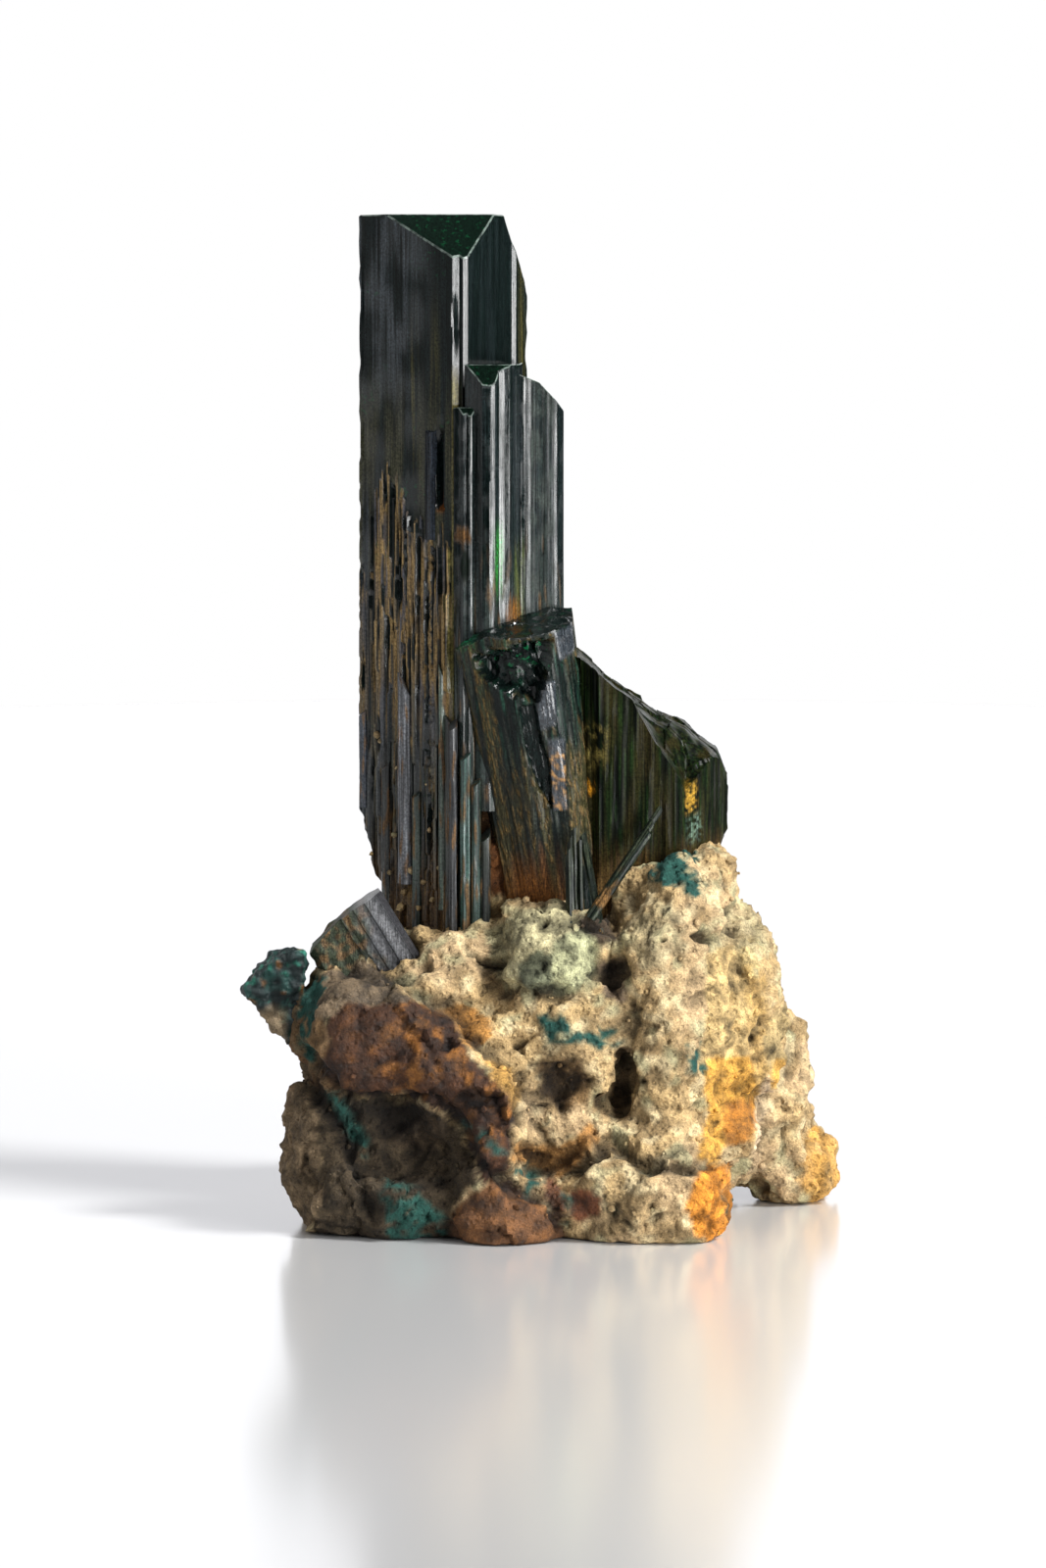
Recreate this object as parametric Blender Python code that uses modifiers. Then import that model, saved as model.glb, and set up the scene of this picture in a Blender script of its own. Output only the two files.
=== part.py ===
# Atacamite specimen: dark green prisms grown on a sandy, porous rock.
# Blender 4.5, metres, +Z up. The origin is in the flat rest face, and -Y is the front.
import math
import random

import bmesh
import bpy
from mathutils import Matrix, Vector

# Driving dimensions, in millimetres
MM = 0.001
GAP = 0.35                      # clearance between a crystal and its socket in the rock
ROOT_LEVEL = 11.5               # how low the crystals reach into the rock
RIDGE_HEIGHT = 48.57            # top ridge of the tall crystal
RIDGE_Y = -0.3

ROCK_VOXEL = 0.62
ROCK_KEEP = 0.17                # share of the remeshed triangles that stay
ROCK_ROUGHNESS = 0.9            # strength of the lumps on the rock
ROCK_LUMP_SIZE = 2.6
REST_FLOOR = 6.0                # thickness of the block that cuts the rest face

# Cross-sections of the upright prisms, seen from above, anticlockwise from the left
TALL_OUTLINE = [(-8.71, 0.95), (-4.19, -3.35), (-3.86, -3.52), (-3.45, -3.3), (-1.33, 1.7),
                (-0.62, 3.1), (-1.1, 4.3), (-4.6, 6.2), (-6.3, 5.6), (-8.5, 2.0)]
STEPPED_OUTLINE = [(-3.9, -3.2), (-2.75, -4.25), (-2.4, -4.35), (-2.14, -4.25), (-1.95, -3.8),
                   (-1.43, -3.65), (-0.95, -2.6), (-0.8, 1.2), (-2.4, 1.2)]
FLUTED_OUTLINE = [(-1.15, -2.5), (-0.9, -2.55), (-0.43, -2.4), (0.67, -1.75), (0.86, -1.7),
                  (1.19, -0.9), (1.0, 1.7), (0.1, 3.1), (-1.5, 3.1)]
SLIM_OUTLINE = [(-4.6, -2.8), (-3.67, -4.05), (-3.43, -4.2), (-3.14, -4.0), (-3.1, -3.5)]
LEANING_OUTLINE = [(-4.4, -3.7), (-4.1, -4.5), (-1.9, -6.0), (0.1, -5.9), (0.95, -5.2),
                   (1.6, -4.1), (1.6, -2.2), (-1.8, -1.6), (-3.9, -2.6)]
BLOCK_OUTLINE = [(1.2, -3.5), (2.9, -4.7), (6.5, -4.5), (6.9, 3.0), (2.6, 3.2), (0.4, 0.6)]
BLOCK_STEP_OUTLINE = [(4.5, -3.9), (6.9, -4.3), (7.6, -3.7), (9.15, -0.9), (8.9, 1.6),
                      (7.2, 3.0), (5.0, 2.2)]
REAR_OUTLINE = [(-1.6, 2.4), (1.2, 2.2), (2.4, 2.6), (2.1, 4.1), (0.6, 5.2), (-1.3, 4.8)]
BACK_LATH_OUTLINE = [(-6.4, 5.0), (-2.6, 4.4), (-2.3, 5.3), (-3.4, 6.5), (-4.7, 7.1), (-6.2, 6.3)]


def clear_scene():
    for item in list(bpy.data.objects):
        bpy.data.objects.remove(item, do_unlink=True)


def make_collection(name):
    group = bpy.data.collections.new(name)
    bpy.context.scene.collection.children.link(group)
    return group


def make_material(name, colour, roughness):
    material = bpy.data.materials.new(name)
    material.use_nodes = True
    shader = material.node_tree.nodes["Principled BSDF"]
    shader.inputs["Base Color"].default_value = (*colour, 1.0)
    shader.inputs["Roughness"].default_value = roughness
    shader.inputs["Metallic"].default_value = 0.0
    return material


def add_object(name, bm, collection, material=None):
    bmesh.ops.recalc_face_normals(bm, faces=bm.faces)
    bmesh.ops.scale(bm, vec=(MM, MM, MM), verts=bm.verts)
    mesh = bpy.data.meshes.new(name)
    bm.to_mesh(mesh)
    bm.free()
    item = bpy.data.objects.new(name, mesh)
    collection.objects.link(item)
    if material is None:
        item.hide_render = True
        item.display_type = "WIRE"
    else:
        mesh.materials.append(material)
    return item


def offset_outline(outline, amount):
    # each corner moves out along the mitre of its two edges
    grown = []
    count = len(outline)
    for index, point in enumerate(outline):
        before = Vector(outline[index - 1])
        here = Vector(point)
        after = Vector(outline[(index + 1) % count])
        side_in = (here - before).normalized()
        side_out = (after - here).normalized()
        normal_in = Vector((side_in.y, -side_in.x))
        normal_out = Vector((side_out.y, -side_out.x))
        mitre = (normal_in + normal_out) / (1.0 + normal_in.dot(normal_out))
        grown.append(tuple(here + mitre * amount))
    return grown


def make_prism(outline, low, high, lean=(0.0, 0.0), taper=1.0):
    # the outline stands at its own place at the height `high`; it shifts by `lean` for
    # each millimetre further down, and its size there is multiplied by `taper`
    bm = bmesh.new()
    corners = [bm.verts.new((x, y, high)) for x, y in outline]
    top = bm.faces.new(corners)
    grown = bmesh.ops.extrude_face_region(bm, geom=[top])
    lower = [part for part in grown["geom"] if isinstance(part, bmesh.types.BMVert)]
    drop = high - low
    middle = sum((vert.co for vert in lower), Vector()) / len(lower)
    for vert in lower:
        vert.co = middle + (vert.co - middle) * taper
        vert.co += Vector((lean[0] * drop, lean[1] * drop, -drop))
    bmesh.ops.recalc_face_normals(bm, faces=bm.faces)
    return bm


def slice_off(bm, point, slope_x, slope_y):
    # removes what is above the plane z = point.z + slope_x * dx + slope_y * dy
    split_away(bm, point, Vector((-slope_x, -slope_y, 1.0)))


def split_away(bm, point, normal):
    everything = bm.verts[:] + bm.edges[:] + bm.faces[:]
    cut = bmesh.ops.bisect_plane(bm, geom=everything, plane_co=point,
                                 plane_no=normal.normalized(), clear_outer=True)
    rim = [part for part in cut["geom_cut"] if isinstance(part, bmesh.types.BMEdge)]
    if rim:
        bmesh.ops.contextual_create(bm, geom=rim)


def tall_prism(grow=0.0):
    bm = make_prism(offset_outline(TALL_OUTLINE, grow), ROOT_LEVEL - grow, RIDGE_HEIGHT + 2)
    slice_off(bm, (0, RIDGE_Y, RIDGE_HEIGHT), 0.0, 0.53)
    slice_off(bm, (0, RIDGE_Y, RIDGE_HEIGHT), 0.0, -0.17)
    slice_off(bm, (-1.71, 0.8, 48.38), -2.0, -0.7)
    split_away(bm, (-8.75 - grow, 0.9, 19.3), Vector((-3.4, -0.6, -1.23)))
    return bm


def stepped_prism(grow=0.0):
    bm = make_prism(offset_outline(STEPPED_OUTLINE, grow), ROOT_LEVEL - grow, 43)
    slice_off(bm, (-2.7, -4.3, 40.77), 0.0, 1.2)
    slice_off(bm, (-2.7, -3.6, 41.7), 0.0, -0.12)
    return bm


def fluted_prism(grow=0.0):
    bm = make_prism(offset_outline(FLUTED_OUTLINE, grow), ROOT_LEVEL - grow, 42)
    slice_off(bm, (-0.8, -2.5, 41.0), -0.4, -0.15)
    slice_off(bm, (-0.05, -2.2, 40.7), -1.0, -0.3)
    return bm


def rear_prism(grow=0.0):
    bm = make_prism(offset_outline(REAR_OUTLINE, grow), ROOT_LEVEL - grow, 30)
    slice_off(bm, (1.0, 4.0, 26.1), -0.5, -0.35)
    return bm


def back_lath(grow=0.0):
    bm = make_prism(offset_outline(BACK_LATH_OUTLINE, grow), ROOT_LEVEL - grow, 35)
    slice_off(bm, (-4.0, 6.5, 31.5), 0.1, -0.8)
    slice_off(bm, (-5.6, 6.0, 31.2), 1.3, 0.2)
    return bm


def slim_prism(grow=0.0):
    bm = make_prism(offset_outline(SLIM_OUTLINE, grow), ROOT_LEVEL - grow, 41)
    slice_off(bm, (-3.43, -4.2, 39.2), 0.0, 1.0)
    slice_off(bm, (-3.43, -3.8, 39.7), 0.0, -0.2)
    return bm


def leaning_prism(grow=0.0):
    bm = make_prism(offset_outline(LEANING_OUTLINE, grow), ROOT_LEVEL - grow, 31,
                    lean=(0.16, 0.03), taper=0.78)
    slice_off(bm, (-1.9, -6.0, 28.7), 0.08, 0.21)
    slice_off(bm, (-2.5, -6.0, 28.65), 0.58, 0.21)
    return bm


def block_prism(grow=0.0):
    bm = make_prism(offset_outline(BLOCK_OUTLINE, grow), ROOT_LEVEL - grow, 29)
    slice_off(bm, (1.8, -3.8, 27.6), -0.85, -0.2)
    slice_off(bm, (4.67, -4.4, 25.1), -1.8, 0.96)
    return bm


def block_step(grow=0.0):
    bm = make_prism(offset_outline(BLOCK_STEP_OUTLINE, grow), ROOT_LEVEL - grow, 27)
    slice_off(bm, (4.67, -4.4, 25.1), -1.8, 0.96)
    slice_off(bm, (4.4, -1.0, 24.9), -0.5, -0.08)
    return bm


def thick_plate(outline, front, back):
    # the outline is given as (x, z) in the plane y = front
    bm = bmesh.new()
    corners = [bm.verts.new((x, front, z)) for x, z in outline]
    face = bm.faces.new(corners)
    grown = bmesh.ops.extrude_face_region(bm, geom=[face])
    moved = [part for part in grown["geom"] if isinstance(part, bmesh.types.BMVert)]
    bmesh.ops.translate(bm, verts=moved, vec=(0, back - front, 0))
    bmesh.ops.recalc_face_normals(bm, faces=bm.faces)
    return bm


SLAB_OUTLINE = [(-11.0, 13.2), (-10.6, 11.6), (-6.0, 11.6), (-6.0, 13.6), (-7.62, 16.3),
                (-8.24, 15.86), (-9.05, 15.4), (-10.14, 14.4)]
WING_OUTLINE = [(-14.24, 11.4), (-13.6, 10.4), (-12.9, 9.5), (-11.9, 9.0), (-11.3, 8.2),
                (-10.6, 7.4), (-9.6, 8.0), (-9.6, 10.4), (-11.35, 11.0), (-11.4, 13.2),
                (-12.3, 13.4), (-13.5, 12.6)]


def slab_crystal(grow=0.0):
    outline = offset_outline(SLAB_OUTLINE, grow)
    bm = thick_plate(outline, -5.6 - grow, -3.3 + grow)
    return bm


def green_wing(grow=0.0):
    outline = offset_outline(WING_OUTLINE, grow)
    bm = thick_plate(outline, -5.9 - grow, -3.9 + grow)
    return bm


def blade(foot, tip, width, depth, grow=0.0):
    # a six-sided lath along the line from foot to tip, with a chisel end
    foot = Vector(foot)
    tip = Vector(tip)
    half_w = width / 2 + grow
    half_d = depth / 2 + grow
    outline = [(-half_w, 0), (-half_w * 0.6, -half_d), (half_w * 0.6, -half_d),
               (half_w, 0), (half_w * 0.6, half_d), (-half_w * 0.6, half_d)]
    length = (tip - foot).length
    bm = make_prism(outline, -grow, length)
    slice_off(bm, (0, 0, length - 0.25 + grow), 0.0, 0.9)
    turn = (tip - foot).to_track_quat("Z", "Y").to_matrix().to_4x4()
    bmesh.ops.transform(bm, matrix=Matrix.Translation(foot) @ turn, verts=bm.verts)
    return bm


BLADES = {
    "blade_upright": dict(foot=(1.75, -6.6, 13.2), tip=(1.6, -6.3, 19.6), width=0.75, depth=0.6),
    "blade_diagonal": dict(foot=(1.9, -7.4, 14.6), tip=(5.8, -5.4, 20.1), width=0.4, depth=0.35),
    "blade_short": dict(foot=(3.1, -6.3, 14.4), tip=(2.0, -6.1, 19.6), width=0.35, depth=0.35),
}

# Lumps of the rock: middle, radii, turn about the upright and number of flat breaks
ROCK_LUMPS = {
    "core": ((-0.4, -0.6, 5.0), (10.2, 8.6, 7.4), 8, 4),
    "left_foot": ((-9.3, -4.6, 3.7), (3.0, 4.6, 4.2), -6, 3),
    "left_base": ((-7.4, -5.4, 1.5), (4.4, 5.2, 3.2), 12, 3),
    "slab_ledge": ((-8.2, -4.6, 10.2), (3.1, 2.9, 2.9), 20, 3),
    "rust_lobe": ((-7.7, -6.9, 9.4), (3.5, 3.4, 3.4), 15, 3),
    "rust_shoulder": ((-4.7, -8.2, 8.2), (2.6, 2.6, 2.2), 30, 2),
    "rust_lobe_end": ((-2.5, -9.3, 6.7), (1.9, 2.2, 2.1), 10, 2),
    "rust_tongue": ((-2.3, -9.8, 4.1), (1.5, 2.0, 1.9), 0, 2),
    "brown_foot": ((-1.6, -9.2, 1.1), (2.9, 2.7, 1.9), 14, 3),
    "tan_top": ((-4.5, -4.6, 11.3), (3.1, 3.2, 2.9), 25, 3),
    "green_boulder": ((0.6, -5.2, 12.8), (2.9, 3.2, 3.1), 10, 2),
    "front_middle": ((0.9, -6.2, 7.8), (3.6, 3.1, 4.6), 5, 3),
    "column": ((6.6, -5.2, 9.4), (2.6, 4.2, 7.7), -8, 4),
    "right_shoulder": ((8.7, -1.4, 9.4), (2.9, 4.9, 5.9), 6, 4),
    "right_nub": ((9.2, -5.0, 4.4), (1.4, 1.8, 1.3), 0, 2),
    "front_block": ((5.1, -8.9, 2.0), (4.1, 3.0, 3.1), -10, 5),
    "rear_knob": ((10.2, 1.4, 3.6), (2.7, 3.5, 2.9), 10, 3),
    "rear_knob_foot": ((12.3, 2.0, 1.5), (2.2, 3.0, 2.0), -15, 3),
    "rear_knob_top": ((11.4, 2.0, 7.2), (1.7, 2.2, 2.3), 20, 3),
    "back_left": ((-4.6, 3.6, 6.4), (5.4, 5.6, 7.4), 6, 4),
    "back_right": ((4.1, 4.2, 6.0), (5.9, 5.2, 8.2), -10, 4),
    "back_foot": ((-0.5, 8.0, 2.3), (6.0, 3.1, 3.2), 12, 4),
}
ROCK_SQUARENESS = 2.8           # 2 is an ellipsoid, larger is boxier
ROCK_HOLLOWS = {
    "under_lobe": ((-6.4, -11.4, 4.2), (3.3, 3.0, 1.9)),
    "front_slot": ((3.95, -8.9, 7.4), (0.6, 2.2, 1.9)),
    "upper_pocket": ((2.7, -7.9, 14.7), (0.9, 1.6, 0.75)),
    "knob_arch": ((10.4, -1.6, 0.4), (0.9, 2.2, 1.5)),
}


def add_lump(bm, middle, radii, turn, breaks, rng):
    lump = bmesh.new()
    bmesh.ops.create_icosphere(lump, subdivisions=3, radius=1.0)
    for vert in lump.verts:
        size = sum(abs(part) ** ROCK_SQUARENESS for part in vert.co) ** (1 / ROCK_SQUARENESS)
        vert.co /= size
    for _ in range(breaks):
        heading = Vector((rng.uniform(-1, 1), rng.uniform(-1, 1), rng.uniform(-0.6, 0.9)))
        heading.normalize()
        everything = lump.verts[:] + lump.edges[:] + lump.faces[:]
        cut = bmesh.ops.bisect_plane(lump, geom=everything, plane_co=heading * 0.93,
                                     plane_no=heading, clear_outer=True)
        rim = [part for part in cut["geom_cut"] if isinstance(part, bmesh.types.BMEdge)]
        bmesh.ops.contextual_create(lump, geom=rim)
    bmesh.ops.scale(lump, vec=radii, verts=lump.verts)
    upright = Matrix.Rotation(math.radians(turn), 3, "Z")
    bmesh.ops.rotate(lump, cent=(0, 0, 0), matrix=upright, verts=lump.verts)
    bmesh.ops.translate(lump, vec=middle, verts=lump.verts)
    mesh = bpy.data.meshes.new("lump")
    lump.to_mesh(mesh)
    lump.free()
    bm.from_mesh(mesh)
    bpy.data.meshes.remove(mesh)


def add_boolean(target, cutter, operation):
    boolean = target.modifiers.new(cutter.name, "BOOLEAN")
    boolean.operation = operation
    boolean.solver = "EXACT"
    boolean.object = cutter


def build_crystal_group(collection, helpers, material):
    group = add_object("crystal_group", tall_prism(), collection, material)
    members = {"stepped_prism": stepped_prism(), "fluted_prism": fluted_prism(),
               "slim_prism": slim_prism(), "leaning_prism": leaning_prism(),
               "block_prism": block_prism(), "block_step": block_step(),
               "rear_prism": rear_prism(), "back_lath": back_lath()}
    for name, bm in members.items():
        add_boolean(group, add_object(name, bm, helpers), "UNION")
    return group


def build_matrix(collection, helpers, material):
    rng = random.Random(11)
    bm = bmesh.new()
    for middle, radii, turn, breaks in ROCK_LUMPS.values():
        add_lump(bm, middle, radii, turn, breaks, rng)
    rock = add_object("matrix", bm, collection, material)

    remesh = rock.modifiers.new("one_body", "REMESH")
    remesh.mode = "VOXEL"
    remesh.voxel_size = ROCK_VOXEL * MM
    lumps = bpy.data.textures.new("rock_lumps", "CLOUDS")
    lumps.noise_scale = ROCK_LUMP_SIZE * MM
    lumps.noise_depth = 1
    rough = rock.modifiers.new("lumps", "DISPLACE")
    rough.texture = lumps
    rough.texture_coords = "LOCAL"
    rough.strength = ROCK_ROUGHNESS * MM
    thin = rock.modifiers.new("fewer_triangles", "DECIMATE")
    thin.ratio = ROCK_KEEP

    for name, (middle, radii) in ROCK_HOLLOWS.items():
        hollow = bmesh.new()
        bmesh.ops.create_icosphere(hollow, subdivisions=2, radius=1.0)
        bmesh.ops.scale(hollow, vec=radii, verts=hollow.verts)
        bmesh.ops.translate(hollow, vec=middle, verts=hollow.verts)
        add_boolean(rock, add_object(name, hollow, helpers), "DIFFERENCE")
    return rock


def cut_sockets(rock, helpers):
    sockets = {"tall_socket": tall_prism(GAP), "stepped_socket": stepped_prism(GAP),
               "fluted_socket": fluted_prism(GAP), "slim_socket": slim_prism(GAP),
               "leaning_socket": leaning_prism(GAP),
               "block_socket": block_prism(GAP), "block_step_socket": block_step(GAP),
               "rear_socket": rear_prism(GAP), "back_lath_socket": back_lath(GAP),
               "slab_socket": slab_crystal(GAP), "wing_socket": green_wing(GAP)}
    for name, sizes in BLADES.items():
        sockets[name + "_socket"] = blade(grow=GAP, **sizes)
    for name, bm in sockets.items():
        add_boolean(rock, add_object(name, bm, helpers), "DIFFERENCE")


def cut_rest_face(rock, helpers):
    bm = bmesh.new()
    bmesh.ops.create_cube(bm, size=1.0)
    bmesh.ops.scale(bm, vec=(60, 60, REST_FLOOR), verts=bm.verts)
    bmesh.ops.translate(bm, vec=(0, 0, -REST_FLOOR / 2), verts=bm.verts)
    add_boolean(rock, add_object("rest_cut", bm, helpers), "DIFFERENCE")


def main():
    clear_scene()
    specimen = make_collection("atacamite_specimen")
    helpers = make_collection("helpers")
    dark_green = make_material("dark_green_crystal", (0.018, 0.035, 0.026), 0.14)
    grey_green = make_material("grey_crystal", (0.16, 0.17, 0.16), 0.32)
    crust = make_material("green_crust", (0.03, 0.09, 0.075), 0.6)
    sandy = make_material("sandy_rock", (0.47, 0.36, 0.23), 0.9)

    build_crystal_group(specimen, helpers, dark_green)
    add_object("slab_crystal", slab_crystal(), specimen, grey_green)
    add_object("green_wing", green_wing(), specimen, crust)
    for name, sizes in BLADES.items():
        blade_green = make_material(name + "_green", (0.03, 0.055, 0.05), 0.25)
        add_object(name, blade(**sizes), specimen, blade_green)
    rock = build_matrix(specimen, helpers, sandy)
    cut_sockets(rock, helpers)
    cut_rest_face(rock, helpers)


main()
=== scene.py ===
import math
import random

import bmesh
import bpy
from mathutils import Matrix, Vector, noise


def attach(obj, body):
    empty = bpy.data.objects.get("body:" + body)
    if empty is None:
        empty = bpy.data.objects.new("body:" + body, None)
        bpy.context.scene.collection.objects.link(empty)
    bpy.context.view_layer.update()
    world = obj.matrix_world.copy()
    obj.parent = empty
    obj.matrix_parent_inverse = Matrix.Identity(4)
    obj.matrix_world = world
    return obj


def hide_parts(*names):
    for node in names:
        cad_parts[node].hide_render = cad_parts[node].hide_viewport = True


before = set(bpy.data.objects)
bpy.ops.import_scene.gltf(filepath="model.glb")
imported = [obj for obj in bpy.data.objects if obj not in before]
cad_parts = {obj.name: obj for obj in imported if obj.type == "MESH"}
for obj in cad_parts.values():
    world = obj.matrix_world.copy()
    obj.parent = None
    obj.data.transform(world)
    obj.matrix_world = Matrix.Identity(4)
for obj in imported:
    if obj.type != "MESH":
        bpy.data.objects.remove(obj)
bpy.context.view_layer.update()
mm = 0.001               # meshes are shaped in millimetres and scaled at the end
noise.seed_set(7)        # noise_vector takes its seed from the clock otherwise
print("frame loaded", len(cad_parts), "nodes")


# small helpers

def blendIn(low, high, value):
    # 0 below low, 1 above high, smooth between
    share = min(1.0, max(0.0, (value - low) / (high - low)))
    return share * share * (3.0 - 2.0 * share)


def mixed(first, second, share):
    return tuple(a + (b - a) * share for a, b in zip(first, second))


def streak(x, y, z, width, length, seed=0.0):
    # noise drawn out along the upright, for striations
    return noise.noise(Vector((x / width + seed, y / width - seed, z / length + seed * 0.37)))


def grainAt(place, size, seed=0.0):
    return noise.noise(place / size + Vector((seed, -seed, seed * 0.5)))


def chance(a, b=0.0, c=0.0):
    # a steady number between -1 and 1 for three numbers
    return noise.cell(Vector((a + 0.5, b + 0.5, c + 0.5)))


def alongLine(points, at):
    # height of a line through (place, height) points
    if at <= points[0][0]:
        return points[0][1]
    for (left, low), (right, high) in zip(points, points[1:]):
        if at <= right:
            return low + (high - low) * (at - left) / (right - left)
    return points[-1][1]


def vertsIn(geometry):
    return [part for part in geometry if isinstance(part, bmesh.types.BMVert)]


def ringIn(geometry, verts):
    inside = set(verts)
    edges = [part for part in geometry if isinstance(part, bmesh.types.BMEdge)]
    return [edge for edge in edges if edge.verts[0] in inside and edge.verts[1] in inside]


def startRing(bm, outline, spacing, z):
    corners = [bm.verts.new((x, y, z)) for x, y in outline]
    sides = [bm.edges.new((corners[i - 1], corners[i])) for i in range(len(corners))]
    for side in sides:
        cuts = round(side.calc_length() / spacing) - 1
        if cuts > 0:
            bmesh.ops.subdivide_edges(bm, edges=[side], cuts=cuts)
    return bm.edges[:]


def raiseWalls(bm, ring, levels):
    for low, high in zip(levels, levels[1:]):
        made = bmesh.ops.extrude_edge_only(bm, edges=ring)["geom"]
        raised = vertsIn(made)
        bmesh.ops.translate(bm, verts=raised, vec=(0, 0, high - low))
        ring = ringIn(made, raised)
    return ring


def levelsBetween(low, high, step):
    count = max(1, round((high - low) / step))
    return [low + (high - low) * i / count for i in range(count + 1)]


def pushOut(bm, relief):
    # moves each wall vertex along its own level normal by relief(place, normal)
    bmesh.ops.recalc_face_normals(bm, faces=bm.faces)
    bm.normal_update()
    moves = []
    for vert in bm.verts:
        level = Vector((vert.normal.x, vert.normal.y, 0.0)).normalized()
        moves.append((vert, level * relief(vert.co.copy(), level)))
    for vert, move in moves:
        vert.co += move


def capRing(bm, ring, materialIndex=0):
    made = bmesh.ops.contextual_create(bm, geom=ring, mat_nr=materialIndex)
    for face in made["faces"]:
        face.material_index = materialIndex
        face.normal_update()
    return made["faces"]


def cutAbove(bm, point, slopeX, slopeY, materialIndex=1):
    # cleaves off what is above the plane through point, and closes the cut
    cutAway(bm, point, Vector((-slopeX, -slopeY, 1.0)), materialIndex)


def cutAway(bm, point, outward, materialIndex=1):
    everything = bm.verts[:] + bm.edges[:] + bm.faces[:]
    cut = bmesh.ops.bisect_plane(bm, geom=everything, plane_co=point, dist=1e-5,
                                 plane_no=outward.normalized(), clear_outer=True)
    rim = [part for part in cut["geom_cut"] if isinstance(part, bmesh.types.BMEdge)]
    if rim:
        for face in capRing(bm, rim, materialIndex):
            face.smooth = False


def bevelHighlightEdges(bm, width=0.065, sharpest=20):
    # a narrow bevel along the edges of the cleaved faces, in the third material, whose pale colour is
    # painted highlight
    tips = [vert for vert in bm.verts
            if any(face.material_index == 1 for face in vert.link_faces)]
    tips.sort(key=lambda vert: tuple(vert.co))
    bmesh.ops.remove_doubles(bm, verts=tips, dist=0.012)
    edges = [edge for edge in bm.edges if len(edge.link_faces) == 2
             and any(face.material_index == 1 for face in edge.link_faces)
             and edge.calc_face_angle(0.0) > math.radians(sharpest)]
    # counts the edges that get the pale painted highlight band
    print("worn edges", len(edges))
    bmesh.ops.bevel(bm, geom=edges, offset=width, offset_type="OFFSET", segments=1, profile=0.5,
                    affect="EDGES", material=2, clamp_overlap=False)


def brokenCap(bm, ring, centre, rings, heightAt, materialIndex=1):
    # steps inward over a broken top, so the break is a real surface
    steps = []
    for step in range(1, rings):
        made = bmesh.ops.extrude_edge_only(bm, edges=ring)["geom"]
        inner = vertsIn(made)
        shrink = (rings - step) / (rings - step + 1)
        for vert in inner:
            x = centre[0] + (vert.co.x - centre[0]) * shrink
            y = centre[1] + (vert.co.y - centre[1]) * shrink
            vert.co = (x, y, heightAt(x, y))
        for part in made:
            if isinstance(part, bmesh.types.BMFace):
                part.material_index = materialIndex
        steps += inner
        ring = ringIn(made, inner)
    for _ in range(14):
        bmesh.ops.smooth_vert(bm, verts=steps, factor=0.5, use_axis_x=True, use_axis_y=True)
    for vert in steps:
        vert.co.z = heightAt(vert.co.x, vert.co.y)
    capRing(bm, ring, materialIndex)
    bmesh.ops.remove_doubles(bm, verts=bm.verts, dist=0.012)


def paint(bm, toneAt):
    # tone is the colour; the second layer holds roughness, dirt, painted glint and shine for the shader
    tone = bm.verts.layers.float_color.new("tone")
    wear_and_glint = bm.verts.layers.float_color.new("wear_and_glint")
    bm.normal_update()
    for vert in bm.verts:
        colour, rough, dirt, glint, shine = toneAt(vert.co.copy(), vert.normal.copy())
        vert[tone] = (*colour, 1.0)
        vert[wear_and_glint] = (rough, dirt, glint, shine)


def finishPiece(name, bm, materials, node, sharpAngle=26):
    bmesh.ops.recalc_face_normals(bm, faces=bm.faces)
    bmesh.ops.scale(bm, vec=(mm, mm, mm), verts=bm.verts)
    mesh = bpy.data.meshes.new(name)
    bm.to_mesh(mesh)
    bm.free()
    for material in materials:
        mesh.materials.append(material)
    mesh.set_sharp_from_angle(angle=math.radians(sharpAngle))
    piece = bpy.data.objects.new(name, mesh)
    bpy.context.scene.collection.objects.link(piece)
    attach(piece, "root")
    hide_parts(node)
    print("made", name, len(mesh.polygons), "faces")
    return piece


# materials

def nodeMaker(owner):
    tree = owner.node_tree

    def make(kind, **values):
        node = tree.nodes.new(kind)
        for name, value in values.items():
            if hasattr(node, name):
                setattr(node, name, value)
            else:
                node.inputs[name.replace("_", " ")].default_value = value
        return node

    def link(source, output, target, socket):
        tree.links.new(source.outputs[output], target.inputs[socket])

    return make, link


crystalLook = {
    "ior": 1.5,
    "specular": 0.42,
    "striaWidth": 0.04,       # mm across one fine striation
    "striaLength": 3.0,
    "striaBump": 0.5,
}


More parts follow.
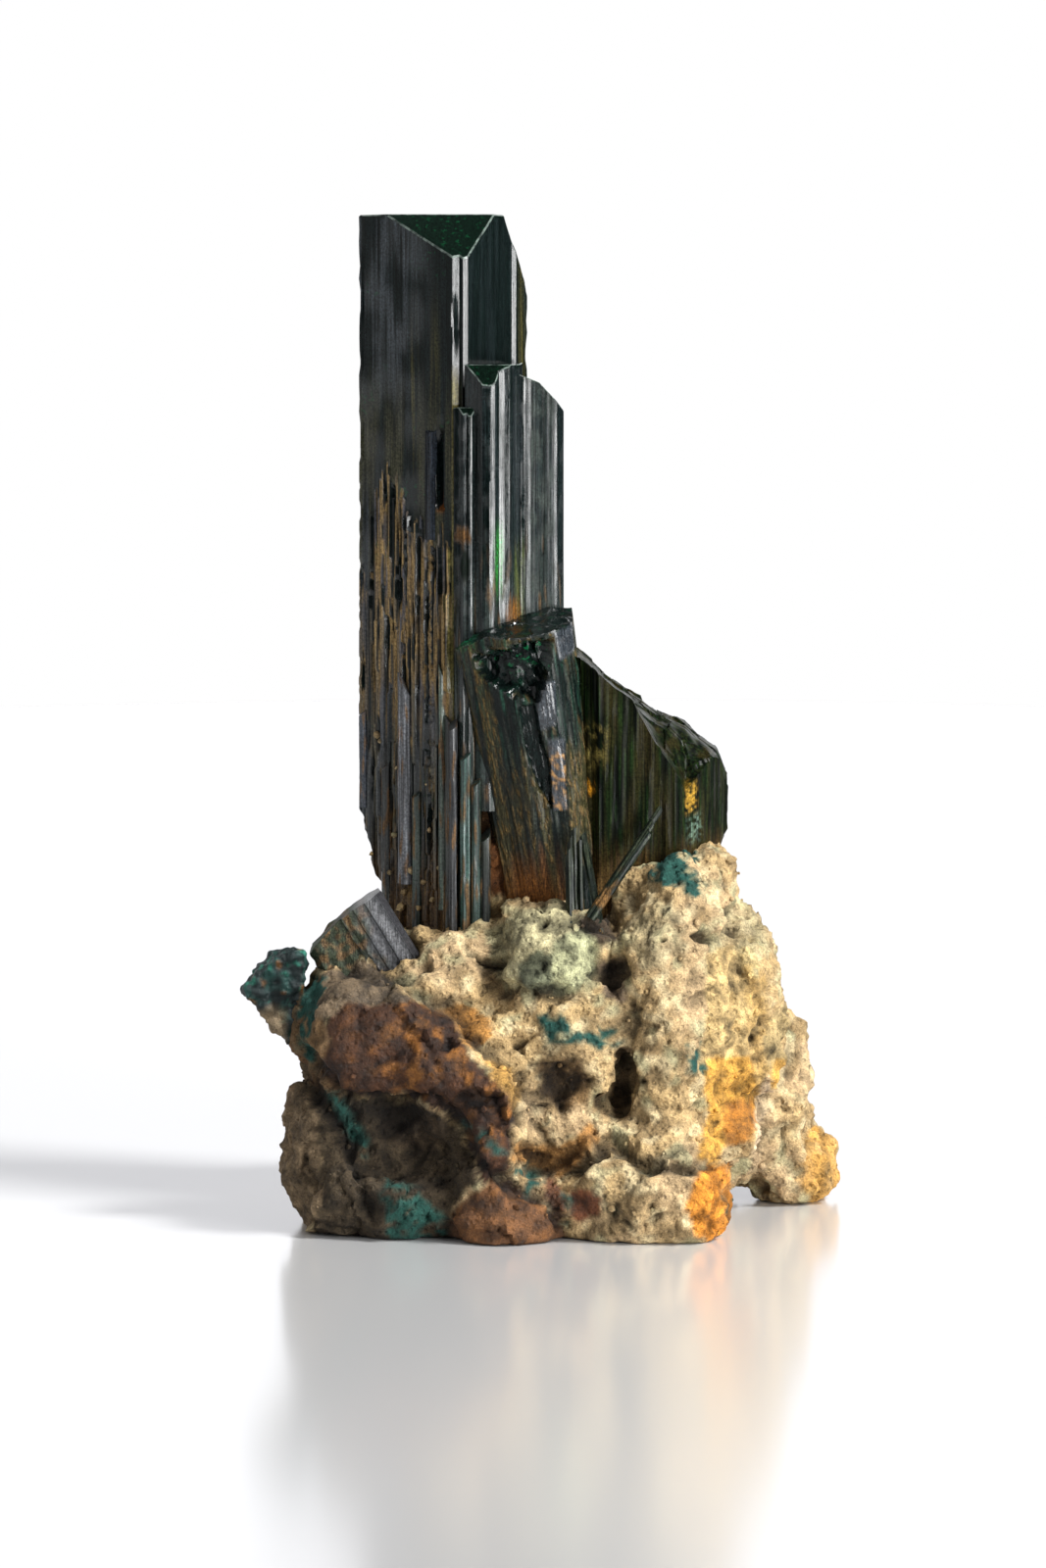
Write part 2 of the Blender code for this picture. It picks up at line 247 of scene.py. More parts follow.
def crystalMaterial(name, stria=1.0, scratch=0.12, coat=0.0, sparks=0.0):
    # painted tone with drawn-out striations, dust, and emerald sparks, which are painted glints, where the
    # paint asks
    material = bpy.data.materials.new(name)
    material.use_nodes = True
    make, link = nodeMaker(material)
    shader = material.node_tree.nodes["Principled BSDF"]
    shader.inputs["IOR"].default_value = crystalLook["ior"]
    shader.inputs["Coat Weight"].default_value = coat
    shader.inputs["Coat Roughness"].default_value = 0.05
    place = make("ShaderNodeTexCoord")
    across = 1.0 / (crystalLook["striaWidth"] * mm)
    upward = 1.0 / (crystalLook["striaLength"] * mm)
    drawn = make("ShaderNodeMapping")
    drawn.inputs["Scale"].default_value = (across, across, upward)
    link(place, "Object", drawn, "Vector")
    fine = make("ShaderNodeTexNoise", Scale=1.0, Detail=4.0, Roughness=0.6)
    link(drawn, "Vector", fine, "Vector")
    speck = make("ShaderNodeTexNoise", Scale=9000.0, Detail=3.0, Roughness=0.6)
    link(place, "Object", speck, "Vector")
    mottle = make("ShaderNodeTexNoise", Scale=1500.0, Detail=4.0, Roughness=0.6)
    link(place, "Object", mottle, "Vector")
    tone = make("ShaderNodeVertexColor", layer_name="tone")
    wear_and_glint = make("ShaderNodeVertexColor", layer_name="wear_and_glint")
    parts = make("ShaderNodeSeparateColor")
    link(wear_and_glint, "Color", parts, "Color")
    mirrorShare = make("ShaderNodeMath", operation="MULTIPLY")
    mirrorShare.inputs[1].default_value = crystalLook["specular"]
    link(wear_and_glint, "Alpha", mirrorShare, 0)
    link(mirrorShare, "Value", shader, "Specular IOR Level")
    shade = make("ShaderNodeMapRange", From_Min=0.32, From_Max=0.68, To_Min=0.15, To_Max=2.2)
    link(fine, "Fac", shade, "Value")
    dust = make("ShaderNodeMapRange", From_Min=0.35, From_Max=0.68, To_Min=0.5, To_Max=1.6)
    link(speck, "Fac", dust, "Value")
    both = make("ShaderNodeMath", operation="MULTIPLY")
    link(shade, "Result", both, 0)
    link(dust, "Result", both, 1)
    coloured = make("ShaderNodeVectorMath", operation="SCALE")
    link(tone, "Color", coloured, 0)
    link(both, "Value", coloured, "Scale")
    # emerald sparks: painted glints, where the glint channel and sparks ask
    spark = make("ShaderNodeTexNoise", Scale=3800.0, Detail=2.0, Roughness=0.5)
    link(place, "Object", spark, "Vector")
    sparkle = make("ShaderNodeMapRange", From_Min=0.6, From_Max=0.68, To_Min=0.0, To_Max=1.0)
    link(spark, "Fac", sparkle, "Value")
    amount = make("ShaderNodeMath", operation="ADD")
    amount.inputs[1].default_value = sparks
    link(parts, "Blue", amount, 0)
    green = make("ShaderNodeMath", operation="MULTIPLY", use_clamp=True)
    link(sparkle, "Result", green, 0)
    link(amount, "Value", green, 1)
    lit = make("ShaderNodeMix", data_type="RGBA")
    link(green, "Value", lit, "Factor")
    link(coloured, "Vector", lit, 6)
    lit.inputs[7].default_value = (0.012, 0.3, 0.1, 1.0)
    link(lit, 2, shader, "Base Color")
    uneven = make("ShaderNodeMapRange", From_Min=0.3, From_Max=0.75, To_Min=-0.05, To_Max=0.1)
    link(mottle, "Fac", uneven, "Value")
    rough = make("ShaderNodeMath", operation="ADD", use_clamp=True)
    link(parts, "Red", rough, 0)
    link(uneven, "Result", rough, 1)
    link(rough, "Value", shader, "Roughness")
    lines = make("ShaderNodeBump", Strength=crystalLook["striaBump"] * stria)
    lines.inputs["Distance"].default_value = 0.012 * mm
    link(fine, "Fac", lines, "Height")
    grains = make("ShaderNodeMath", operation="MULTIPLY")
    link(speck, "Fac", grains, 0)
    link(parts, "Green", grains, 1)
    dirty = make("ShaderNodeBump", Strength=0.9)
    dirty.inputs["Distance"].default_value = 0.07 * mm
    link(grains, "Value", dirty, "Height")
    link(lines, "Normal", dirty, "Normal")
    scratches = make("ShaderNodeBump", Strength=scratch)
    scratches.inputs["Distance"].default_value = 0.02 * mm
    link(mottle, "Fac", scratches, "Height")
    link(dirty, "Normal", scratches, "Normal")
    link(scratches, "Normal", shader, "Normal")
    return material


def rockMaterial(name, grainSize=0.09, bump=0.9):
    # painted tone broken up by sand grains and small dark pores
    material = bpy.data.materials.new(name)
    material.use_nodes = True
    make, link = nodeMaker(material)
    shader = material.node_tree.nodes["Principled BSDF"]
    shader.inputs["IOR"].default_value = 1.45
    shader.inputs["Specular IOR Level"].default_value = 0.35
    place = make("ShaderNodeTexCoord")
    grains = make("ShaderNodeTexNoise", Scale=1.0 / (grainSize * mm), Detail=4.0, Roughness=0.65)
    link(place, "Object", grains, "Vector")
    clumps = make("ShaderNodeTexNoise", Scale=1.0 / (0.55 * mm), Detail=5.0, Roughness=0.62)
    link(place, "Object", clumps, "Vector")
    pores = make("ShaderNodeTexVoronoi", Scale=1.0 / (0.34 * mm), Randomness=1.0)
    link(place, "Object", pores, "Vector")
    tone = make("ShaderNodeVertexColor", layer_name="tone")
    wear_and_glint = make("ShaderNodeVertexColor", layer_name="wear_and_glint")
    parts = make("ShaderNodeSeparateColor")
    link(wear_and_glint, "Color", parts, "Color")
    light = make("ShaderNodeMapRange", From_Min=0.33, From_Max=0.66, To_Min=0.6, To_Max=1.35)
    link(grains, "Fac", light, "Value")
    patch = make("ShaderNodeMapRange", From_Min=0.35, From_Max=0.65, To_Min=0.68, To_Max=1.25)
    link(clumps, "Fac", patch, "Value")
    both = make("ShaderNodeMath", operation="MULTIPLY")
    link(light, "Result", both, 0)
    link(patch, "Result", both, 1)
    coloured = make("ShaderNodeVectorMath", operation="SCALE")
    link(tone, "Color", coloured, 0)
    link(both, "Value", coloured, "Scale")
    link(coloured, "Vector", shader, "Base Color")
    link(parts, "Red", shader, "Roughness")
    rounded = make("ShaderNodeMapRange", From_Min=0.0, From_Max=0.45, To_Min=0.0, To_Max=1.0)
    link(pores, "Distance", rounded, "Value")
    porous = make("ShaderNodeMath", operation="MULTIPLY")
    link(rounded, "Result", porous, 0)
    link(parts, "Green", porous, 1)
    lumps = make("ShaderNodeMath", operation="ADD")
    link(porous, "Value", lumps, 0)
    link(clumps, "Fac", lumps, 1)
    coarse = make("ShaderNodeBump", Strength=bump)
    coarse.inputs["Distance"].default_value = 0.17 * mm
    link(lumps, "Value", coarse, "Height")
    fine = make("ShaderNodeBump", Strength=bump)
    fine.inputs["Distance"].default_value = 0.06 * mm
    link(grains, "Fac", fine, "Height")
    link(coarse, "Normal", fine, "Normal")
    link(fine, "Normal", shader, "Normal")
    return material


black = (0.0025, 0.005, 0.0045)
blueBlack = (0.0055, 0.009, 0.009)
slate = (0.022, 0.026, 0.029)
olive = (0.03, 0.024, 0.007)
deepGreen = (0.004, 0.02, 0.011)
emerald = (0.008, 0.16, 0.06)
ochre = (0.11, 0.056, 0.017)
tan = (0.39, 0.27, 0.125)
rust = (0.042, 0.0135, 0.004)
orange = (0.36, 0.11, 0.012)
silver = (0.13, 0.135, 0.14)
teal = (0.012, 0.055, 0.043)

prismGloss = crystalMaterial("striated_dark_green")
# the cleaved faces get a few painted emerald glints all over
tipGloss = crystalMaterial("cleaved_dark_green", stria=0.15, scratch=0.35, sparks=0.05)
breakGloss = crystalMaterial("broken_dark_green", stria=0.1, scratch=1.0)
weatheredGloss = crystalMaterial("weathered_dark_green", stria=1.7, scratch=0.3)


def edgeHighlightMaterial():
    # pale painted highlight along the cleaved edges, broken up so that it comes and goes
    material = bpy.data.materials.new("painted_highlight_edge")
    material.use_nodes = True
    make, link = nodeMaker(material)
    shader = material.node_tree.nodes["Principled BSDF"]
    shader.inputs["Roughness"].default_value = 0.35
    place = make("ShaderNodeTexCoord")
    patch = make("ShaderNodeTexNoise", Scale=2600.0, Detail=4.0, Roughness=0.65)
    link(place, "Object", patch, "Vector")
    ramp = make("ShaderNodeValToRGB")
    ramp.color_ramp.elements[0].position = 0.4
    ramp.color_ramp.elements[0].color = (0.006, 0.012, 0.01, 1.0)
    ramp.color_ramp.elements[1].position = 0.6
    ramp.color_ramp.elements[1].color = (0.13, 0.17, 0.145, 1.0)
    link(patch, "Fac", ramp, "Fac")
    link(ramp, "Color", shader, "Base Color")
    dent = make("ShaderNodeBump", Strength=0.8)
    dent.inputs["Distance"].default_value = 0.03 * mm
    link(patch, "Fac", dent, "Height")
    link(dent, "Normal", shader, "Normal")
    return material


highlightEdge = edgeHighlightMaterial()


# the tall crystal

tallCrystal = {
    "outline": [(-8.71, 0.95), (-4.19, -3.42), (-3.86, -3.3), (-3.67, -3.5), (-3.45, -3.4),
                (-1.33, 1.7), (-1.12, 1.78), (-0.6, 3.1), (-1.1, 4.3), (-4.6, 6.2),
                (-6.3, 5.6), (-8.5, 2.0)],
    "root": 11.5,
    "ridge": (0.0, -0.3, 48.57),
    "spacing": 0.085,
    "lathZone": 37.0,          # laths stay below this height, in fine rows
    "lathRow": 0.15,
    "plainRow": 0.6,
    "faceStart": Vector((-8.71, 0.95)),
    "faceWay": Vector((0.7245, -0.6893)),
    "lathTops": [(0.0, 31.0), (0.75, 31.0), (0.86, 34.8), (1.4, 35.8), (2.0, 36.1),
                 (2.3, 35.4), (2.95, 36.0), (3.2, 35.2), (3.7, 33.9), (4.3, 34.4),
                 (5.0, 33.8), (6.3, 33.6)],
    "lathWidth": 0.36,
    "lathRise": 0.09,
    # the broken lower-left corner, as the furthest left x at each height
    "brokenSide": [(11.5, -6.9), (15.3, -7.3), (15.8, -7.55), (16.2, -8.0), (17.6, -8.12),
                   (18.0, -8.36), (18.8, -8.42), (19.2, -8.68), (19.5, -9.2)],
}


def lathField(cfg, along, z):
    # cover of the etched laths, how far they stand out, and how deep in a groove, on the left face
    cell = math.floor(along / 0.17)
    top = alongLine(cfg["lathTops"], along) + 0.9 * (chance(cell, 3) - 0.5)
    cover = blendIn(0.0, 0.1, top - z)
    warped = along + 0.1 * noise.noise(Vector((along * 0.7, z * 0.07, 3.1)))
    lath = math.floor(warped / cfg["lathWidth"])
    across = 2.0 * (warped / cfg["lathWidth"] - lath) - 1.0
    piece = math.floor(z / (2.2 + 3.0 * chance(lath, 7)) + chance(lath, 9))
    rise = cfg["lathRise"] * (0.7 + 1.5 * chance(lath, 1) + 0.9 * chance(lath, piece, 5))
    rise -= 0.06 * abs(across) ** 3
    groove = max(0.0, noise.noise(Vector((warped * 7.5, z * 0.14, 9.0))) - 0.02)
    pit = max(0.0, noise.noise(Vector((warped * 5.0, z * 0.33, 4.0))) - 0.26)
    fine = 0.02 * noise.noise(Vector((along * 13.0, z * 0.3, 1.0)))
    depth = min(0.24, 0.3 * groove + 0.45 * pit)
    return cover, cover * (rise + fine - depth), cover * min(1.0, 3.0 * groove + 4.0 * pit)


def edgeChips(x, y, z, corner, reach=0.35):
    near = blendIn(reach, 0.02, math.hypot(x - corner[0], y - corner[1]))
    if near == 0.0:
        return 0.0
    nick = max(0.0, noise.noise(Vector((corner[0], corner[1], z * 1.1))) - 0.1)
    small = max(0.0, noise.noise(Vector((corner[1], corner[0], z * 3.6))) - 0.15)
    return near * (0.26 * nick + 0.12 * small)


def tallRelief(place, normal):
    cfg = tallCrystal
    x, y, z = place
    plain = 0.014 * streak(x, y, z, 0.9, 40.0) + 0.008 * streak(x, y, z, 0.25, 22.0, 4.0)
    plain -= edgeChips(x, y, z, cfg["outline"][0]) + edgeChips(x, y, z, cfg["outline"][7], 0.25)
    if normal.x < -0.5 and normal.y < -0.5:
        along = (Vector((x, y)) - cfg["faceStart"]).dot(cfg["faceWay"])
        if along < 6.2:
            slot = blendIn(5.14, 5.22, along) * blendIn(5.76, 5.68, along)
            slot = slot * blendIn(34.5, 34.8, z) * blendIn(38.3, 38.1, z)
            return plain + lathField(cfg, along, z)[1] * blendIn(0.3, 0.8, along) - 0.42 * slot
        return plain
    if normal.y < -0.2 and y < -2.0:
        chips = max(0.0, noise.noise(Vector((x * 2.0, z * 1.9, 2.0))) - 0.1)
        left = blendIn(-3.75, -4.0, x)
        return plain - 0.4 * left * chips * blendIn(3.0, 1.5, abs(z - 44.8))
    hidden = blendIn(0.0, 2.0, y)
    flutes = 0.07 * streak(x, y, z, 0.8, 30.0, 6.0) + 0.03 * streak(x, y, z, 0.3, 14.0, 8.0)
    low = blendIn(34.0, 28.0, z + 4.0 * streak(x, y, 0.0, 0.5, 1.0, 2.0))
    return plain + hidden * (flutes + 0.12 * low * (0.5 + streak(x, y, z, 0.4, 5.0, 1.0)))


def tallTone(place, normal):
    cfg = tallCrystal
    x, y, z = place
    band = streak(x, y, z, 0.6, 9.0, 2.0)
    thin = streak(x, y, z, 0.18, 6.0, 5.0)
    cloud = grainAt(place, 1.6, 3.0)
    colour = mixed(blueBlack, black, blendIn(-0.3, 0.3, band))
    rough, dirt, glint, shine = 0.12, 0.0, 0.0, 1.0
    if normal.x < -0.35 and normal.y < 0.1:
        along = (Vector((x, y)) - cfg["faceStart"]).dot(cfg["faceWay"])
        cover, _, groove = lathField(cfg, along, z)
        # painted sheen: a bluish slate reflection on the upper left face
        sheen = blendIn(37.0, 42.0, z) * blendIn(-0.25, 0.35, thin + 0.8 * cloud)
        sheen *= blendIn(5.2, 3.0, along)
        colour = mixed(colour, (0.028, 0.035, 0.041), 0.8 * sheen)
        warm = max(blendIn(0.4, 0.1, abs(along - 3.7)), blendIn(0.5, 0.1, abs(along - 5.1)))
        warm *= blendIn(46.0, 40.0, z) * blendIn(-0.2, 0.3, thin)
        colour = mixed(colour, (0.034, 0.031, 0.01), warm)
        low = blendIn(42.0, 37.0, z) * blendIn(-0.3, 0.25, band)
        colour = mixed(colour, (0.03, 0.03, 0.017), low)
        shine = 0.35 + 0.75 * blendIn(-0.35, 0.3, cloud + 0.5 * thin) * blendIn(5.6, 3.5, along)
        body = mixed((0.058, 0.06, 0.074), blueBlack, blendIn(-0.25, 0.4, thin))
        body = mixed(body, (0.1, 0.075, 0.035), 0.75 * blendIn(-0.15, 0.35, band))
        upper = blendIn(20.5, 27.0, z)
        dusty = blendIn(0.25 - 0.5 * upper, 0.8 - 0.5 * upper, groove + 0.6 * thin + 0.4 * cloud)
        body = mixed((0.022, 0.028, 0.018), body, 0.45 + 0.55 * upper)
        body = mixed(body, mixed((0.12, 0.075, 0.025), (0.2, 0.13, 0.05), upper), dusty)
        # black in the grooves between the laths, with less shine, is painted shade
        dark = blendIn(0.5, 0.95, groove)
        body = mixed(body, black, dark)
        colour = mixed(colour, body, cover)
        shine = mixed((shine,), (0.8 - 0.8 * dark,), cover)[0]
        margin = blendIn(0.85, 0.6, along) * blendIn(35.5, 34.0, z)
        colour = mixed(colour, (0.03, 0.037, 0.045), 0.7 * margin * blendIn(-0.3, 0.3, thin))
        # a black line at the edge of the lath layer is painted shade of its step
        colour = mixed(colour, black, blendIn(0.1, 0.0, abs(along - 0.86)) * blendIn(35.0, 34.0, z))
        rough = 0.13 + 0.2 * cover + 0.35 * dusty * cover
        dirt = dusty * cover
        # a few painted glints on the left face
        glint = 0.1 * blendIn(0.2, 0.5, cloud)
        # the slot is painted black as painted shade, with rust towards its bottom
        slot = blendIn(5.14, 5.22, along) * blendIn(5.76, 5.68, along) * blendIn(38.4, 38.1, z)
        slot = slot * blendIn(34.2, 34.8, z)
        rusty = blendIn(35.8, 34.9, z)
        colour = mixed(colour, mixed((0.0, 0.0, 0.0), (0.14, 0.045, 0.01), rusty), slot)
        shine = shine * (1.0 - slot)
    elif y > 1.5:
        lower = blendIn(36.0, 24.0, z + 5.0 * band)
        colour = mixed(colour, (0.045, 0.045, 0.035), lower * blendIn(-0.2, 0.4, thin))
        colour = mixed(colour, (0.15, 0.085, 0.03), 0.6 * lower * blendIn(0.1, 0.5, band))
        rough = 0.14 + 0.22 * lower
    elif y < -3.0:
        # below the tops of the crystals in front it goes black, olive to the left, with less shine: painted
        # shade between the parts
        underShade = blendIn(41.4, 41.0, z)
        wall = blendIn(-3.85, -4.0, x)
        colour = mixed(colour, mixed((0.0, 0.0, 0.0), (0.07, 0.06, 0.02), wall), underShade)
        shine = 1.0 - underShade * (1.0 - 0.3 * wall)
    if normal.z > 0.35 and z > 40.0:
        # dark green roof with a few painted glints
        colour, rough, shine, glint = (0.0015, 0.006, 0.0035), 0.1, 0.5, 0.03
    foot = blendIn(19.0, 14.0, z + 2.0 * thin)
    colour = mixed(colour, ochre, 0.6 * foot)
    edge = blendIn(0.25, 0.0, abs(x + 0.85)) * blendIn(3.6, 2.6, y)
    colour = mixed(colour, (0.06, 0.052, 0.014), 0.8 * edge * blendIn(-0.3, 0.3, thin))
    return colour, rough + 0.3 * foot, max(dirt, foot), glint, shine


def buildTallCrystal():
    cfg = tallCrystal
    bm = bmesh.new()
    ring = startRing(bm, cfg["outline"], cfg["spacing"], cfg["root"])
    levels = levelsBetween(cfg["root"], cfg["lathZone"], cfg["lathRow"])
    levels += levelsBetween(cfg["lathZone"], 50.0, cfg["plainRow"])[1:]
    top = raiseWalls(bm, ring, levels)
    pushOut(bm, tallRelief)
    for vert in bm.verts:
        if vert.co.z < 19.4:
            jag = 0.16 * noise.noise(vert.co * 1.7) + 0.06 * noise.noise(vert.co * 6.0)
            vert.co.x = max(vert.co.x, alongLine(cfg["brokenSide"], vert.co.z + jag) + jag)
    for face in bm.faces:
        face.smooth = True
    capRing(bm, ring)
    capRing(bm, top, 1)
    ridge = Vector(cfg["ridge"])
    cutAbove(bm, ridge, 0.0, 0.53)
    cutAbove(bm, ridge, 0.0, -0.17)
    cutAbove(bm, Vector((-1.71, 0.8, 48.38)), -2.0, -0.7)
    bevelHighlightEdges(bm)
    paint(bm, tallTone)
    return finishPiece("tall_crystal", bm, [prismGloss, tipGloss, highlightEdge], "crystal_group")


# the shorter parallel crystals on the right of the tall one

sideCrystals = {
    "stepped_crystal": {
        "outline": [(-3.9, -3.2), (-2.75, -4.25), (-2.4, -4.3), (-2.14, -4.2), (-1.95, -3.75),
                    (-1.43, -3.6), (-0.95, -2.6), (-0.8, 1.2), (-2.4, 1.2)],
        "root": 20.0, "top": 43.0,
        "cuts": [((-2.7, -4.3, 40.77), 0.0, 1.2), ((-2.7, -3.6, 41.7), 0.0, -0.12)],
        "seed": 2.0,
    },
    "fluted_crystal": {
        "outline": [(-1.15, -2.5), (-0.9, -2.55), (-0.66, -2.48), (-0.63, -2.5), (-0.43, -2.4),
                    (0.67, -1.78), (0.86, -1.72), (1.19, -0.9), (1.0, 1.7), (0.1, 3.1),
                    (-1.5, 3.1)],
        "root": 20.0, "top": 42.0,
        "cuts": [((-0.8, -2.5, 41.0), -0.4, -0.15), ((-0.05, -2.2, 40.7), -1.0, -0.3)],
        "seed": 5.0,
    },
    "slim_crystal": {
        "outline": [(-4.6, -2.8), (-3.67, -4.05), (-3.5, -4.02), (-3.4, -4.15), (-3.24, -4.1),
                    (-3.14, -3.95), (-3.05, -3.4)],
        "root": 14.0, "top": 41.0,
        "cuts": [((-3.43, -4.1, 39.3), 0.0, 1.0), ((-3.43, -3.8, 39.65), 0.0, -0.2)],
        "seed": 8.0,
        # pits painted on its front: x, z, half sizes, depth, colour; the black one is painted shade of a
        # hollow, the other rust
        "pits": [(-3.56, 31.9, 0.26, 0.85, 0.4, (0.001, 0.004, 0.002)),
                 (-3.72, 33.4, 0.42, 0.45, 0.3, (0.07, 0.035, 0.012))],
    },
    "rear_crystal": {
        "outline": [(-1.6, 2.4), (1.2, 2.2), (2.4, 2.6), (2.1, 4.1), (0.6, 5.2), (-1.3, 4.8)],
        "root": 11.5, "top": 30.0,
        "cuts": [((1.0, 4.0, 26.1), -0.5, -0.35)],
        "seed": 11.0,
    },
    "back_lath": {
        "outline": [(-6.4, 5.0), (-2.6, 4.4), (-2.3, 5.3), (-3.4, 6.5), (-4.7, 7.1),
                    (-6.2, 6.3)],
        "root": 11.5, "top": 35.0,
        "cuts": [((-4.0, 6.5, 31.5), 0.1, -0.8), ((-5.6, 6.0, 31.2), 1.3, 0.2)],
        "seed": 14.0,
    },
}
sideSpacing = 0.06
sideRow = 0.35


def sideRelief(cfg):
    seed = cfg["seed"]

    def relief(place, normal):
        x, y, z = place
        broad = 0.03 * streak(x, y, z, 0.7, 35.0, seed)
        thin = 0.018 * streak(x, y, z, 0.16, 16.0, seed + 3.0)
        mottled = 0.012 * streak(x, y, z, 0.3, 2.5, seed + 5.0)
        low = blendIn(33.0, 27.0, z)
        return broad + thin + mottled * (0.5 + low) + 0.03 * low * streak(x, y, z, 0.2, 3.0, seed)

    return relief


def pitShare(x, y, z, pit):
    reach = math.hypot((x - pit[0]) / pit[2], (z - pit[1]) / pit[3])
    return blendIn(1.1, 0.8, reach + 0.3 * noise.noise(Vector((x * 4.0, y, z * 4.0))))


def sideTone(cfg):
    seed = cfg["seed"]

    def tone(place, normal):
        x, y, z = place
        thin = streak(x, y, z, 0.14, 8.0, seed)
        line = streak(x, y, z, 0.09, 2.2, seed + 4.0)
        band = streak(x, y, z, 0.4, 7.0, seed + 2.0)
        cloud = grainAt(place, 0.7, seed)
        colour = mixed(black, blueBlack, blendIn(-0.3, 0.3, band))
        colour = mixed(colour, slate, 0.5 * blendIn(0.0, 0.5, thin))
        front = 1.0 if y < -1.0 else 0.0
        # painted glow: emerald light through the crystal, in streaks, also given as painted glints
        glow = blendIn(2.3, 0.6, abs(z - 32.2)) * blendIn(0.34, 0.1, abs(x + 1.95))
        glow = front * glow * blendIn(-0.25, 0.2, line)
        colour = mixed(colour, (0.012, 0.1, 0.014), 0.85 * glow)
        # painted glow: yellow-green light through the crystal, in streaks
        warm = blendIn(2.9, 0.8, abs(z - 30.6)) * blendIn(0.34, 0.1, abs(x + 0.95))
        warm = front * warm * blendIn(-0.15, 0.25, line)
        colour = mixed(colour, (0.06, 0.075, 0.01), 0.8 * warm)
        spot = blendIn(0.55, 0.15, math.hypot(x + 1.25, 0.5 * (z - 29.4)) + 0.3 * line)
        colour = mixed(colour, (0.2, 0.075, 0.01), 0.7 * front * spot)
        low = blendIn(34.0, 28.0, z + 3.0 * band)
        colour = mixed(colour, (0.03, 0.042, 0.036), 0.6 * low * blendIn(-0.3, 0.3, thin))
        dusty = low * blendIn(0.2, 0.5, streak(x, y, z, 0.25, 1.6, seed + 7.0))
        colour = mixed(colour, ochre, 0.6 * dusty)
        rough = 0.08 + 0.1 * low + 0.35 * dusty + 0.22 * blendIn(0.0, 0.4, cloud)
        shine = 0.55 + 0.55 * blendIn(-0.3, 0.3, line)
        broad = front * blendIn(-0.5, -0.38, x) * blendIn(0.8, 0.66, x)
        colour = mixed(colour, (0.02, 0.026, 0.022), 0.7 * broad * blendIn(-0.2, 0.3, cloud))
        rough, shine = rough + 0.12 * broad, shine * (1.0 - 0.7 * broad)
        if normal.z > 0.3 and z > 36.0:
            colour, rough, shine = (0.0015, 0.005, 0.003), 0.1, 0.5
        # the pits are only painted: black as painted shade, brown as rust, with less shine
        for pit in cfg.get("pits", []):
            share = pitShare(x, y, z, pit) if y < -2.4 else 0.0
            colour, rough = mixed(colour, pit[5], share), rough + 0.4 * share
            shine = shine * (1.0 - 0.7 * share)
        return colour, rough, dusty, 0.3 * glow, shine

    return tone


def buildSideCrystal(name, cfg):
    bm = bmesh.new()
    ring = startRing(bm, cfg["outline"], sideSpacing, cfg["root"])
    top = raiseWalls(bm, ring, levelsBetween(cfg["root"], cfg["top"], sideRow))
    pushOut(bm, sideRelief(cfg))
    for face in bm.faces:
        face.smooth = True
    capRing(bm, ring)
    capRing(bm, top, 1)
    for point, slopeX, slopeY in cfg["cuts"]:
        cutAbove(bm, Vector(point), slopeX, slopeY)
    bevelHighlightEdges(bm, 0.04)
    paint(bm, sideTone(cfg))
    return finishPiece(name, bm, [prismGloss, tipGloss, highlightEdge], "crystal_group")


# the leaning crystal with its broken top

leaningCrystal = {
    "outline": [(-4.4, -3.7), (-4.1, -4.5), (-1.9, -6.0), (0.1, -5.9), (0.95, -5.2),
                (1.6, -4.1), (1.6, -2.2), (-1.8, -1.6), (-3.9, -2.6)],
    "root": 11.5, "nominalTop": 31.0,
    "lean": (0.16, 0.03), "leanTop": 29.4, "taper": 0.78,
    "centre": (-1.4, -3.7),
    "spacing": 0.09, "row": 0.16, "capRings": 44,
    # the hollow broken out below the front rim, as x and z on the upright prism
    "chip": [(-3.47, 27.75), (-2.03, 28.15), (0.0, 28.6), (0.5, 28.6), (0.2, 27.4), (-0.3, 26.4),
             (-0.74, 25.6), (-1.5, 25.8), (-2.64, 26.2), (-3.3, 26.9)],
    "chipDepth": 1.1,
    # smooth facets on its right: x and z on the upright prism
    "facets": [[(0.62, 29.2), (1.6, 29.3), (1.55, 27.9), (0.75, 27.5)],
               [(-0.45, 26.6), (0.4, 26.6), (0.3, 25.3), (0.1, 24.4), (-0.8, 24.2), (-0.7, 25.5)],
               [(-0.45, 23.7), (0.5, 23.8), (0.25, 22.0), (0.0, 20.3), (-0.7, 20.2), (-0.5, 22.5)]],
    "darkFacet": [(-1.61, 25.3), (-0.84, 25.5), (-0.86, 24.4), (-0.55, 22.5), (-0.76, 20.3),
                  (-1.36, 21.5), (-1.68, 23.5)],
}


def shellBreak(x, y, seed):
    # curved, stepped fracture surface like broken glass
    cells, points = noise.voronoi(Vector((x / 1.3, y / 1.3, seed)))
    tilt = points[0]
    slant = 0.35 * (chance(tilt.x * 9.0, tilt.y * 9.0) - 0.5)
    ripples = 0.05 * math.sin(cells[0] * 16.0 + seed)
    small, corners = noise.voronoi(Vector((x / 0.42, y / 0.42, seed + 5.0)))
    return 0.5 * cells[0] + slant + ripples + 0.1 * small[0]


def leaningTop(x, y):
    rim = 28.7 + 0.08 * (x + 1.9) + 0.21 * (y + 6.0) - 0.5 * max(0.0, -2.5 - x)
    return min(rim, 29.8) + 0.34 * shellBreak(x, y, 1.0) - 0.15


